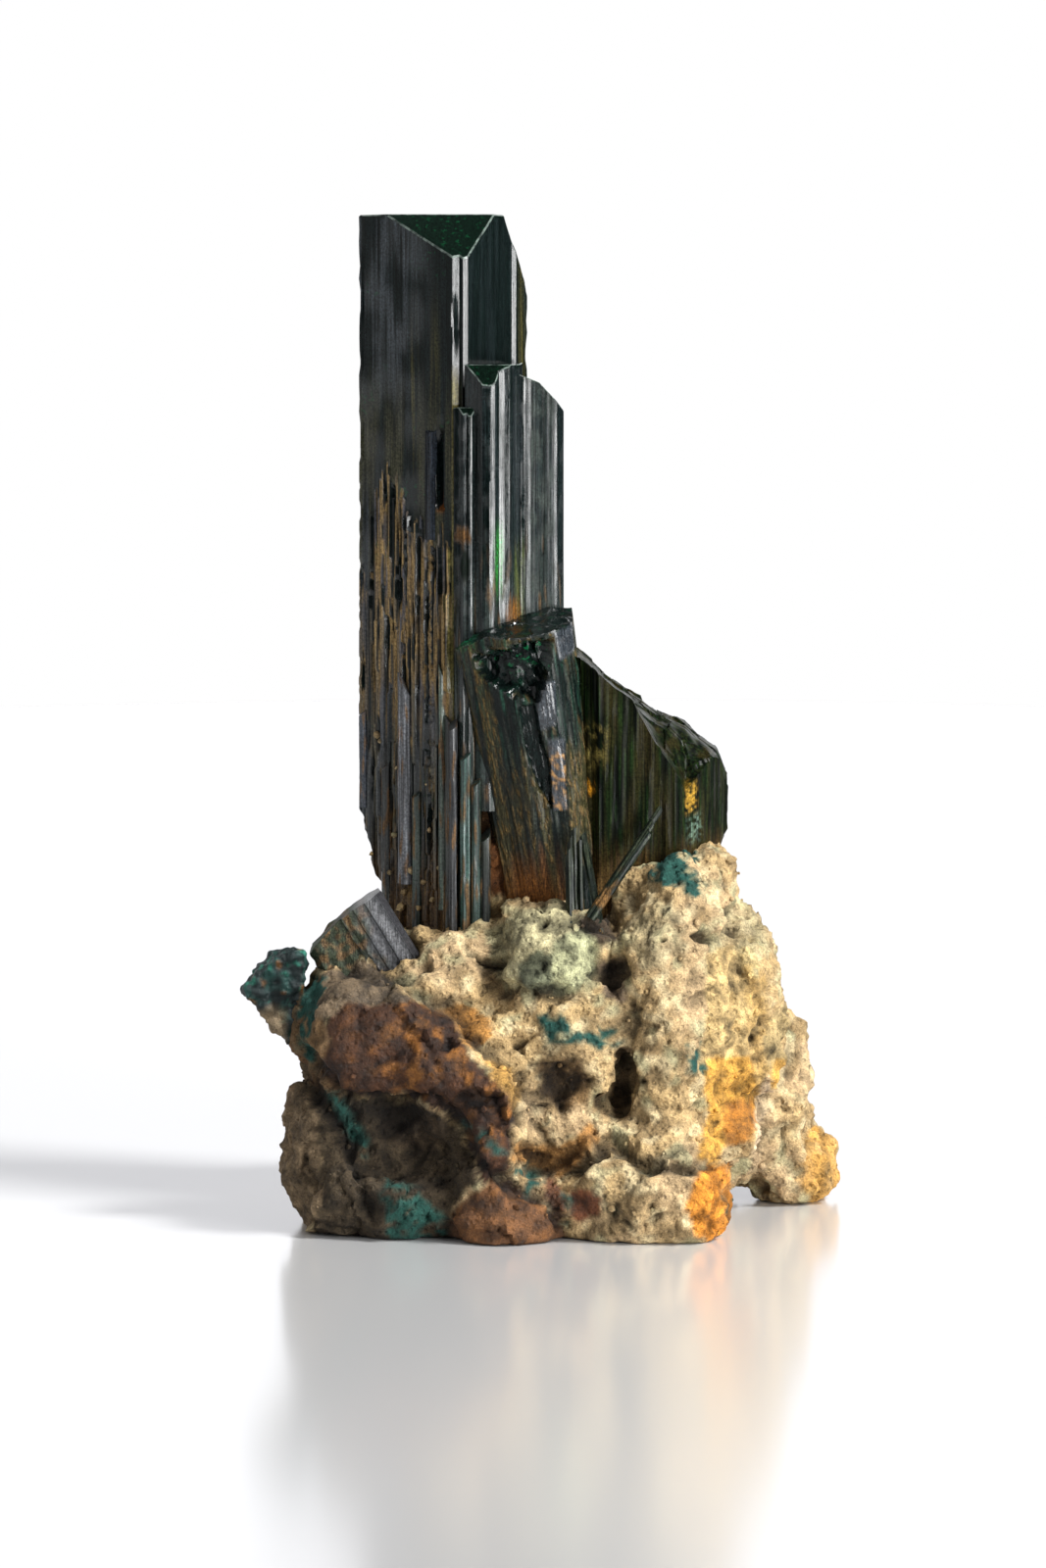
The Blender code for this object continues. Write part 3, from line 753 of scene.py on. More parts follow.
def leaningMarks(x, y, z):
    # shares of the hollow, the smooth facets and the dark facet at a place on the front
    cfg = leaningCrystal
    if y > -3.4:
        return 0.0, 0.0, 0.0
    jagX = x + 0.16 * noise.noise(Vector((x * 2.0, z * 2.0, 5.0)))
    jagZ = z + 0.25 * noise.noise(Vector((x * 2.0, z * 2.0, 8.0)))
    hollow = insideShare(cfg["chip"], boxOf(cfg["chip"]), jagX, jagZ, 0.12)
    smooth = max(insideShare(facet, boxOf(facet), x, z, 0.06) for facet in cfg["facets"])
    dark = insideShare(cfg["darkFacet"], boxOf(cfg["darkFacet"]), x, z, 0.06)
    return hollow, smooth, dark


def leaningRelief(place, normal):
    cfg = leaningCrystal
    x, y, z = place
    striae = 0.04 * streak(x, y, z, 0.5, 12.0, 3.0) + 0.03 * streak(x, y, z, 0.17, 6.0, 6.0)
    groove = max(0.0, streak(x, y, z, 0.2, 4.0, 9.0) - 0.12)
    relief = striae - 0.16 * groove
    hollow, smooth, dark = leaningMarks(x, y, z)
    facets, _ = noise.voronoi(Vector((x / 0.55, z / 0.55, 3.0)))
    broken = -cfg["chipDepth"] + 0.5 * facets[0] + 0.1 * noise.noise(place * 3.0)
    relief = relief * (1.0 - smooth) + 0.06 * smooth - 0.32 * dark
    relief -= edgeChips(x, y, z, (1.6, -4.1), 0.5) + edgeChips(x, y, z, (0.95, -5.2), 0.4)
    return relief * (1.0 - hollow) + broken * hollow


def leaningTone(place, normal):
    cfg = leaningCrystal
    x, y, z = place
    # back to the upright prism, where the marks are laid out
    drop = cfg["leanTop"] - z
    size = 1.0 + (cfg["taper"] - 1.0) * max(0.0, drop) / (cfg["leanTop"] - cfg["root"])
    x0 = cfg["centre"][0] + (x - cfg["lean"][0] * drop - cfg["centre"][0]) / size
    y0 = cfg["centre"][1] + (y - cfg["lean"][1] * drop - cfg["centre"][1]) / size
    thin = streak(x0, y0, z, 0.14, 5.0, 5.0)
    line = streak(x0, y0, z, 0.09, 2.0, 2.0)
    band = streak(x0, y0, z, 0.5, 5.0, 1.0)
    colour = mixed(black, (0.018, 0.021, 0.017), blendIn(-0.1, 0.5, thin))
    colour = mixed(colour, (0.028, 0.025, 0.01), 0.8 * blendIn(-0.25, 0.3, band))
    colour = mixed(colour, (0.012, 0.04, 0.026), 0.6 * blendIn(0.1, 0.5, line) * blendIn(21.0, 26.0, z))
    dusty = blendIn(0.05, 0.4, streak(x0, y0, z, 0.12, 0.5, 9.0)) * blendIn(-0.3, 0.2, band)
    colour = mixed(colour, (0.12, 0.072, 0.024), 0.6 * dusty)
    rough, shine, glint = 0.26 + 0.3 * dusty, 0.3, 0.0
    hollow, smooth, dark = leaningMarks(x0, y0, z)
    colour = mixed(colour, (0.02, 0.024, 0.028), smooth)
    colour = mixed(colour, black, dark)
    spotted = smooth * blendIn(23.4, 22.8, z) * blendIn(0.0, 0.35, grainAt(place, 0.22, 3.0))
    colour = mixed(colour, (0.22, 0.11, 0.025), 0.8 * spotted)
    rough = mixed((rough,), (0.1 + 0.3 * spotted,), max(smooth, dark))[0]
    shine = mixed((shine,), (1.3,), smooth)[0]
    fresh = max(hollow, 1.0 if normal.z > 0.45 and z > 26.0 else 0.0)
    spark = 0.5 * blendIn(0.2, 0.5, noise.noise(place * 2.6))
    # lip: emerald painted glow of light through the thin left rim, with painted glints there and in the
    # hollow
    lip = blendIn(-3.0, -3.9, x0) * blendIn(27.6, 28.6, z)
    colour = mixed(colour, mixed(black, deepGreen, spark), fresh)
    colour = mixed(colour, (0.01, 0.13, 0.055), 0.8 * lip * blendIn(-0.4, 0.3, line))
    rough = rough + (0.07 - rough) * fresh
    shine = mixed((shine,), (1.3 - 0.9 * hollow,), fresh)[0]
    glint = max(0.35 * hollow * blendIn(26.4, 28.2, z), 0.6 * lip)
    rusty = blendIn(18.5, 15.5, z + 1.5 * band) * blendIn(-0.2, -1.6, x0)
    colour = mixed(colour, (0.13, 0.048, 0.01), 0.8 * rusty)
    return colour, rough + 0.4 * rusty, max(dusty * (1.0 - fresh), rusty), glint, shine


def shear(bm, cfg):
    for vert in bm.verts:
        drop = cfg["leanTop"] - vert.co.z
        size = 1.0 + (cfg["taper"] - 1.0) * max(0.0, drop) / (cfg["leanTop"] - cfg["root"])
        vert.co.x = cfg["centre"][0] + (vert.co.x - cfg["centre"][0]) * size
        vert.co.y = cfg["centre"][1] + (vert.co.y - cfg["centre"][1]) * size
        vert.co.x += cfg["lean"][0] * drop
        vert.co.y += cfg["lean"][1] * drop


def buildBroken(name, cfg, heightAt, relief, tone):
    # walls whose rows all end on the broken top, then the break itself
    bm = bmesh.new()
    ring = startRing(bm, cfg["outline"], cfg["spacing"], cfg["root"])
    top = raiseWalls(bm, ring, levelsBetween(cfg["root"], cfg["nominalTop"], cfg["row"]))
    height = cfg["nominalTop"] - cfg["root"]
    for vert in bm.verts:
        rise = heightAt(vert.co.x, vert.co.y) - cfg["root"]
        vert.co.z = cfg["root"] + (vert.co.z - cfg["root"]) * rise / height
        if "rightLimit" in cfg:
            vert.co.x = min(vert.co.x, alongLine(cfg["rightLimit"], vert.co.z))
    pushOut(bm, relief)
    capRing(bm, ring)
    brokenCap(bm, top, cfg["centre"], cfg["capRings"], heightAt)
    for face in bm.faces:
        face.smooth = True
    if "lean" in cfg:
        shear(bm, cfg)
    paint(bm, tone)
    return finishPiece(name, bm, [weatheredGloss, breakGloss], "crystal_group",
                       sharpAngle=34)


# the broken block on the right

brokenBlock = {
    "outline": [(1.2, -3.5), (2.9, -4.7), (6.9, -4.4), (7.6, -3.7), (9.15, -0.9), (8.9, 1.6),
                (6.9, 3.1), (2.6, 3.2), (0.4, 0.6)],
    "root": 11.5, "nominalTop": 27.0,
    "centre": (4.8, -0.6),
    # height of the break along the front and along the back, by x
    "frontRim": [(0.4, 28.0), (1.9, 27.65), (2.62, 27.05), (3.14, 26.5), (3.9, 25.9), (4.5, 25.5),
                 (4.75, 25.0), (5.62, 23.4), (6.67, 22.1), (7.05, 21.3), (7.7, 21.6), (8.8, 22.0),
                 (9.15, 21.6)],
    "rearRim": [(0.4, 27.6), (1.9, 27.2), (2.62, 26.6), (3.14, 26.05), (3.9, 25.5), (4.9, 24.9),
                (5.67, 24.3), (7.05, 23.7), (7.67, 23.1), (8.57, 22.5), (8.8, 22.0), (9.15, 21.0)],
    # how far right its worn lower edge reaches, by z
    "rightLimit": [(11.5, 8.0), (16.8, 8.2), (17.6, 8.6), (18.6, 9.05), (21.0, 9.3)],
    "spacing": 0.09, "row": 0.16, "capRings": 52,
}


def blockTop(x, y):
    front = alongLine(brokenBlock["frontRim"], x)
    rear = alongLine(brokenBlock["rearRim"], x) - 0.1 * max(0.0, y)
    share = blendIn(-4.5, -1.2, y)
    return front + (rear - front) * share + 0.4 * shellBreak(x, y, 4.0) - 0.2


def blockRelief(place, normal):
    x, y, z = place
    striae = 0.06 * streak(x, y, z, 0.45, 12.0, 2.0) + 0.05 * streak(x, y, z, 0.19, 7.0, 6.0)
    groove = max(0.0, streak(x, y, z, 0.24, 5.0, 9.0) - 0.12)
    fine = 0.025 * streak(x, y, z, 0.11, 9.0, 4.0)
    return striae + fine - 0.24 * groove


def blockTone(place, normal):
    x, y, z = place
    thin = streak(x, y, z, 0.13, 7.0, 6.0)
    line = streak(x, y, z, 0.08, 2.6, 2.0)
    band = streak(x, y, z, 0.6, 5.0, 3.0)
    colour = mixed((0.0008, 0.0015, 0.0008), (0.008, 0.01, 0.003), blendIn(-0.2, 0.4, thin))
    colour = mixed(colour, (0.006, 0.018, 0.004), 0.5 * blendIn(0.05, 0.4, line))
    colour = mixed(colour, (0.017, 0.013, 0.004), 0.6 * blendIn(0.0, 0.5, band))
    front = 1.0 if y < -3.0 else 0.0
    streaky = front * blendIn(0.4, 0.1, abs(x - 7.35)) * blendIn(1.0, 0.4, abs(z - 20.6))
    crumbs = blendIn(-0.25, 0.15, grainAt(place, 0.22, 9.0) + 0.5 * line)
    streaky = streaky * crumbs
    colour = mixed(colour, (0.3, 0.17, 0.022), 0.9 * streaky)
    pale = front * blendIn(0.5, 0.1, abs(x - 7.5)) * blendIn(1.0, 0.3, abs(z - 19.1))
    colour = mixed(colour, (0.07, 0.11, 0.08), 0.8 * pale * crumbs)
    gold = front * blendIn(3.7, 2.6, x) * blendIn(1.4, 0.6, abs(z - 23.2))
    gold *= blendIn(-0.2, 0.3, grainAt(place, 0.3, 5.0))
    colour = mixed(colour, (0.14, 0.11, 0.03), 0.8 * gold)
    orangeSpot = front * blendIn(0.42, 0.16, math.hypot(x - 2.4, 0.8 * (z - 21.2)) + 0.2 * line)
    colour = mixed(colour, (0.45, 0.19, 0.012), orangeSpot * crumbs)
    low = blendIn(19.0, 16.0, z + band)
    colour = mixed(colour, (0.1, 0.05, 0.016), 0.5 * low)
    rough = 0.3 + 0.25 * low + 0.3 * max(streaky, gold)
    dirt, shine, fresh = max(low, streaky, gold), 0.12, 0.0
    if normal.z > 0.4 and z > 18.0:
        fresh = 1.0
        spark = blendIn(0.25, 0.55, noise.noise(place * 2.4))
        colour, rough, dirt, shine = mixed(black, deepGreen, 0.5 * spark), 0.07, 0.0, 0.7
    # the glint amount gives painted emerald glints on the broken top
    return colour, rough, dirt, 0.2 * fresh * blendIn(0.1, 0.4, noise.noise(place)), shine


# thin laths grown on the tall crystal's left face

# start and end along the face, how proud, low and high end, top slope, colour, roughness
laths = [
    (4.46, 5.16, 0.16, 33.0, 38.2, 0.6, (0.016, 0.02, 0.026), 0.14),
    (2.78, 3.6, 0.42, 16.0, 25.6, -1.6, (0.11, 0.115, 0.125), 0.34),
    (5.5, 5.95, 0.34, 15.0, 26.4, -2.2, (0.07, 0.095, 0.075), 0.3),
    (5.9, 6.4, 0.3, 14.0, 24.2, -1.0, (0.03, 0.034, 0.03), 0.3),
    (0.02, 0.5, 0.12, 19.4, 24.0, 1.2, (0.05, 0.06, 0.075), 0.22),
    (1.6, 2.1, 0.24, 13.5, 21.6, 1.4, (0.03, 0.033, 0.03), 0.3),
    (3.7, 4.2, 0.3, 13.0, 20.4, 0.8, (0.035, 0.05, 0.04), 0.28),
]
# the same on the face between the tall and the leaning crystal: x, y, half width, low, high
footLaths = [
    (-3.55, -4.15, 0.26, 13.0, 22.6, (0.028, 0.06, 0.05)),
    (-3.05, -4.3, 0.22, 13.0, 21.3, (0.03, 0.05, 0.042)),
    (-4.15, -4.0, 0.2, 13.0, 24.0, (0.03, 0.032, 0.034)),
    (-2.6, -4.2, 0.24, 13.0, 18.6, (0.03, 0.036, 0.03)),
]


def joinInto(bm, other):
    mesh = bpy.data.meshes.new("joined")
    other.to_mesh(mesh)
    other.free()
    bm.from_mesh(mesh)
    bpy.data.meshes.remove(mesh)


def growLath(outline, low, high, slope, colour, rough, seed):
    lath = bmesh.new()
    ring = startRing(lath, outline, 0.05, low)
    top = raiseWalls(lath, ring, levelsBetween(low, high + 0.8, 0.2))
    pushOut(lath, lambda place, normal: 0.03 * streak(*place, 0.12, 3.0, seed))
    for face in lath.faces:
        face.smooth = True
    capRing(lath, ring)
    capRing(lath, top, 1)
    x = sum(point[0] for point in outline) / len(outline)
    y = min(point[1] for point in outline)
    cutAbove(lath, Vector((x, y, high)), slope, 0.5)

    def tone(place, normal):
        thin = streak(*place, 0.1, 3.0, seed)
        shade = 0.75 + 1.1 * thin
        dusty = blendIn(0.12, 0.4, streak(*place, 0.2, 1.2, seed + 3.0)) * blendIn(34.0, 28.0, place.z)
        painted = mixed(tuple(part * shade for part in colour), ochre, 0.8 * dusty)
        return painted, rough + 0.4 * dusty, dusty, 0.0, 0.9

    paint(lath, tone)
    return lath


def buildLaths():
    cfg = tallCrystal
    start, way = cfg["faceStart"], cfg["faceWay"]
    out = Vector((way.y, -way.x))
    bm = bmesh.new()
    for count, (first, last, proud, low, high, slope, colour, rough) in enumerate(laths):
        wide = last - first
        shape = [(0.0, -0.2), (0.1 * wide, 0.75 * proud), (0.32 * wide, proud),
                 (0.7 * wide, 0.92 * proud), (0.94 * wide, 0.5 * proud), (wide, -0.2)]
        outline = [start + way * (first + along) + out * rise for along, rise in shape]
        outline = [(point.x, point.y) for point in outline]
        joinInto(bm, growLath(outline, low, high, slope, colour, rough, count * 3.0))
    for count, (x, y, half, low, high, colour) in enumerate(footLaths):
        outline = [(x - half, y + 0.5), (x - half, y), (x - 0.4 * half, y - 0.7 * half),
                   (x + 0.7 * half, y - 0.5 * half), (x + half, y + 0.1), (x + half, y + 0.6)]
        joinInto(bm, growLath(outline, low, high, 0.8, colour, 0.3, 40.0 + count * 3.0))
    return finishPiece("grown_laths", bm, [prismGloss, tipGloss], "crystal_group")


# the slab crystal at the left foot, built upright and then laid over

slabCrystal = {
    "outline": [(0.02, -5.1), (0.3, -5.62), (0.34, -5.6), (0.95, -5.66), (0.98, -5.58),
                (1.62, -5.64), (1.66, -5.56), (2.4, -5.6), (2.44, -5.46), (4.3, -5.36),
                (4.7, -4.8), (4.4, -3.5), (0.2, -3.4)],
    "low": -2.6, "high": 4.0,
    "topLine": [(0.0, 3.06), (0.72, 3.04), (1.65, 3.02), (2.4, 2.9), (3.1, 2.78), (4.7, 2.2)],
    "across": Vector((-0.853, 0.0, -0.521)),
    "along": Vector((-0.521, 0.0, 0.853)),
    "origin": Vector((-6.05, 0.0, 13.65)),
}


def buildSlab():
    cfg = slabCrystal
    bm = bmesh.new()
    ring = startRing(bm, cfg["outline"], 0.06, cfg["low"])
    top = raiseWalls(bm, ring, levelsBetween(cfg["low"], cfg["high"], 0.07))
    for vert in bm.verts:
        x, y, z = vert.co
        high = alongLine(cfg["topLine"], x) + 0.1 * noise.noise(Vector((x * 1.6, y, 3.0)))
        vert.co.z = cfg["low"] + (z - cfg["low"]) * (high - cfg["low"]) / (cfg["high"] - cfg["low"])

    def relief(place, normal):
        x, y, z = place
        worn = blendIn(1.9, 3.0, x + 0.35 * z + 0.8 * noise.noise(Vector((x, z, 4.0))))
        step = 0.16 * blendIn(2.05, 2.15, x + 0.12 * noise.noise(Vector((z * 2.0, 0, 1))))
        rough = 0.12 * worn * noise.noise(Vector((x * 2.4, y, z * 2.4)))
        return 0.014 * streak(x, y, z, 0.1, 3.0, 2.0) - step * 0.6 + rough

    pushOut(bm, relief)
    for face in bm.faces:
        face.smooth = True
    capRing(bm, ring)
    for face in capRing(bm, top, 1):
        face.smooth = False

    def tone(place, normal):
        x, y, z = place
        band = streak(x, y, z, 0.3, 9.0, 3.0)
        colour = mixed((0.042, 0.043, 0.046), (0.085, 0.086, 0.09), blendIn(-0.3, 0.3, band))
        worn = blendIn(1.7, 2.9, x + 0.35 * z + 1.0 * noise.noise(Vector((x, z, 4.0))))
        dirty = mixed((0.025, 0.032, 0.018), (0.1, 0.06, 0.026),
                      blendIn(-0.1, 0.35, noise.noise(Vector((x * 2.6, z * 2.6, 1.0)))))
        colour = mixed(colour, dirty, worn)
        if normal.x < -0.5 or x < 0.12:
            colour = (0.02, 0.02, 0.022)
        return colour, 0.34 + 0.3 * worn, worn, 0.0, 0.7

    paint(bm, tone)
    for vert in bm.verts:
        x, y, z = vert.co
        vert.co = cfg["origin"] + cfg["across"] * x + cfg["along"] * z + Vector((0.0, y, 0.0))
    return finishPiece("slab_crystal_satin", bm, [prismGloss, tipGloss], "slab_crystal")


# little blades in front of the block

blades = {
    "blade_upright": dict(foot=(1.75, -6.6, 12.6), tip=(1.6, -6.3, 19.6), width=0.75,
                          depth=0.6, count=4, seed=1.0),
    "blade_diagonal": dict(foot=(2.4, -6.9, 15.2), tip=(5.8, -5.4, 20.1), width=0.6,
                           depth=0.4, count=4, seed=5.0),
    "blade_short": dict(foot=(3.1, -6.3, 13.9), tip=(2.0, -6.1, 19.6), width=0.36,
                        depth=0.36, count=2, seed=9.0),
}


def buildBlade(name, cfg):
    # a bundle of needles side by side, each ending at its own height
    foot, tip = Vector(cfg["foot"]), Vector(cfg["tip"])
    length = (tip - foot).length
    turn = (tip - foot).to_track_quat("Z", "Y").to_matrix().to_4x4()
    bm = bmesh.new()
    for count in range(cfg["count"]):
        needle = bmesh.new()
        share = (count + 0.5) / cfg["count"] - 0.5
        x = share * cfg["width"]
        half = 0.62 * cfg["width"] / cfg["count"]
        y = 0.2 * cfg["depth"] * (chance(count, cfg["seed"]) - 0.5)
        deep = 0.42 * cfg["depth"]
        outline = [(x - half, y + 0.4 * deep), (x - half, y - 0.5 * deep), (x - 0.3 * half, y - deep),
                   (x + 0.6 * half, y - 0.8 * deep), (x + half, y - 0.1 * deep), (x + 0.6 * half, y + deep),
                   (x - 0.4 * half, y + deep)]
        ring = startRing(needle, outline, 0.06, 0.0)
        end = length * (1.0 - 0.22 * abs(share) * 2.0 - 0.08 * chance(count, cfg["seed"], 2))
        top = raiseWalls(needle, ring, levelsBetween(0.0, end + 0.5, 0.16))
        pushOut(needle, lambda place, normal: 0.02 * streak(*place, 0.1, 1.2, cfg["seed"] + count))
        for face in needle.faces:
            face.smooth = True
        capRing(needle, ring)
        capRing(needle, top, 1)
        cutAbove(needle, Vector((x, y, end)), 1.2 * (chance(count, 3) - 0.5), 0.8)
        joinInto(bm, needle)

    def tone(place, normal):
        thin = streak(*place, 0.09, 1.4, cfg["seed"])
        colour = mixed((0.004, 0.007, 0.005), (0.022, 0.027, 0.016), blendIn(-0.2, 0.45, thin))
        dusty = blendIn(0.15, 0.45, grainAt(place, 0.5, cfg["seed"])) * blendIn(3.4, 0.4, place.z)
        return mixed(colour, ochre, dusty), 0.28 + 0.4 * dusty, dusty, 0.0, 0.3

    paint(bm, tone)
    bmesh.ops.transform(bm, matrix=Matrix.Translation(foot) @ turn, verts=bm.verts)
    return finishPiece(name + "_needles", bm, [prismGloss, tipGloss], name)


# rock

rockBody = {
    "voxel": 0.185,
    "smoothing": 3,
    # lumps that close the sockets round the crystals' roots, and shape the ledges
    "fills": [((-4.2, 1.4, 11.6), (5.6, 5.6, 2.7)), ((4.4, 0.0, 13.2), (5.4, 4.6, 3.0)),
              ((-1.0, -3.4, 12.6), (4.6, 3.0, 2.2)), ((-8.4, -4.6, 11.2), (2.7, 2.2, 2.0)),
              ((-10.9, -5.2, 9.4), (1.2, 1.6, 2.2)), ((1.0, -6.2, 14.2), (2.6, 1.8, 1.7)),
              ((5.8, -4.2, 15.6), (2.9, 1.8, 1.9)), ((8.2, -3.5, 16.0), (1.35, 2.3, 2.3)),
              ((-2.3, -2.9, 16.6), (1.1, 0.75, 4.3)), ((6.4, -5.4, 17.0), (1.3, 1.2, 1.0))],
}


def addBall(bm, middle, radii, subdivisions=3, seed=0.0):
    made = bmesh.ops.create_icosphere(bm, subdivisions=subdivisions, radius=1.0)["verts"]
    if seed:
        for vert in made:
            vert.co *= 1.0 + 0.35 * noise.noise(vert.co * 1.3 + Vector((seed, 0, seed * 0.7)))
    bmesh.ops.scale(bm, vec=radii, verts=made)
    bmesh.ops.translate(bm, vec=middle, verts=made)
    return made


def remeshed(bm, voxel):
    # one closed skin over everything in bm, by the voxel remesher
    mesh = bpy.data.meshes.new("rough")
    bm.to_mesh(mesh)
    bm.free()
    rough = bpy.data.objects.new("rough", mesh)
    bpy.context.scene.collection.objects.link(rough)
    skin = rough.modifiers.new("skin", "REMESH")
    skin.mode = "VOXEL"
    skin.voxel_size = voxel
    skin.use_smooth_shade = True
    bpy.context.view_layer.update()
    made = bpy.data.meshes.new_from_object(rough.evaluated_get(
        bpy.context.evaluated_depsgraph_get()))
    bpy.data.objects.remove(rough)
    result = bmesh.new()
    result.from_mesh(made)
    bpy.data.meshes.remove(made)
    return result


def nodeInMillimetres(name):
    bm = bmesh.new()
    bm.from_mesh(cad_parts[name].data)
    bmesh.ops.scale(bm, vec=(1 / mm, 1 / mm, 1 / mm), verts=bm.verts)
    bmesh.ops.remove_doubles(bm, verts=bm.verts, dist=0.001)
    return bm


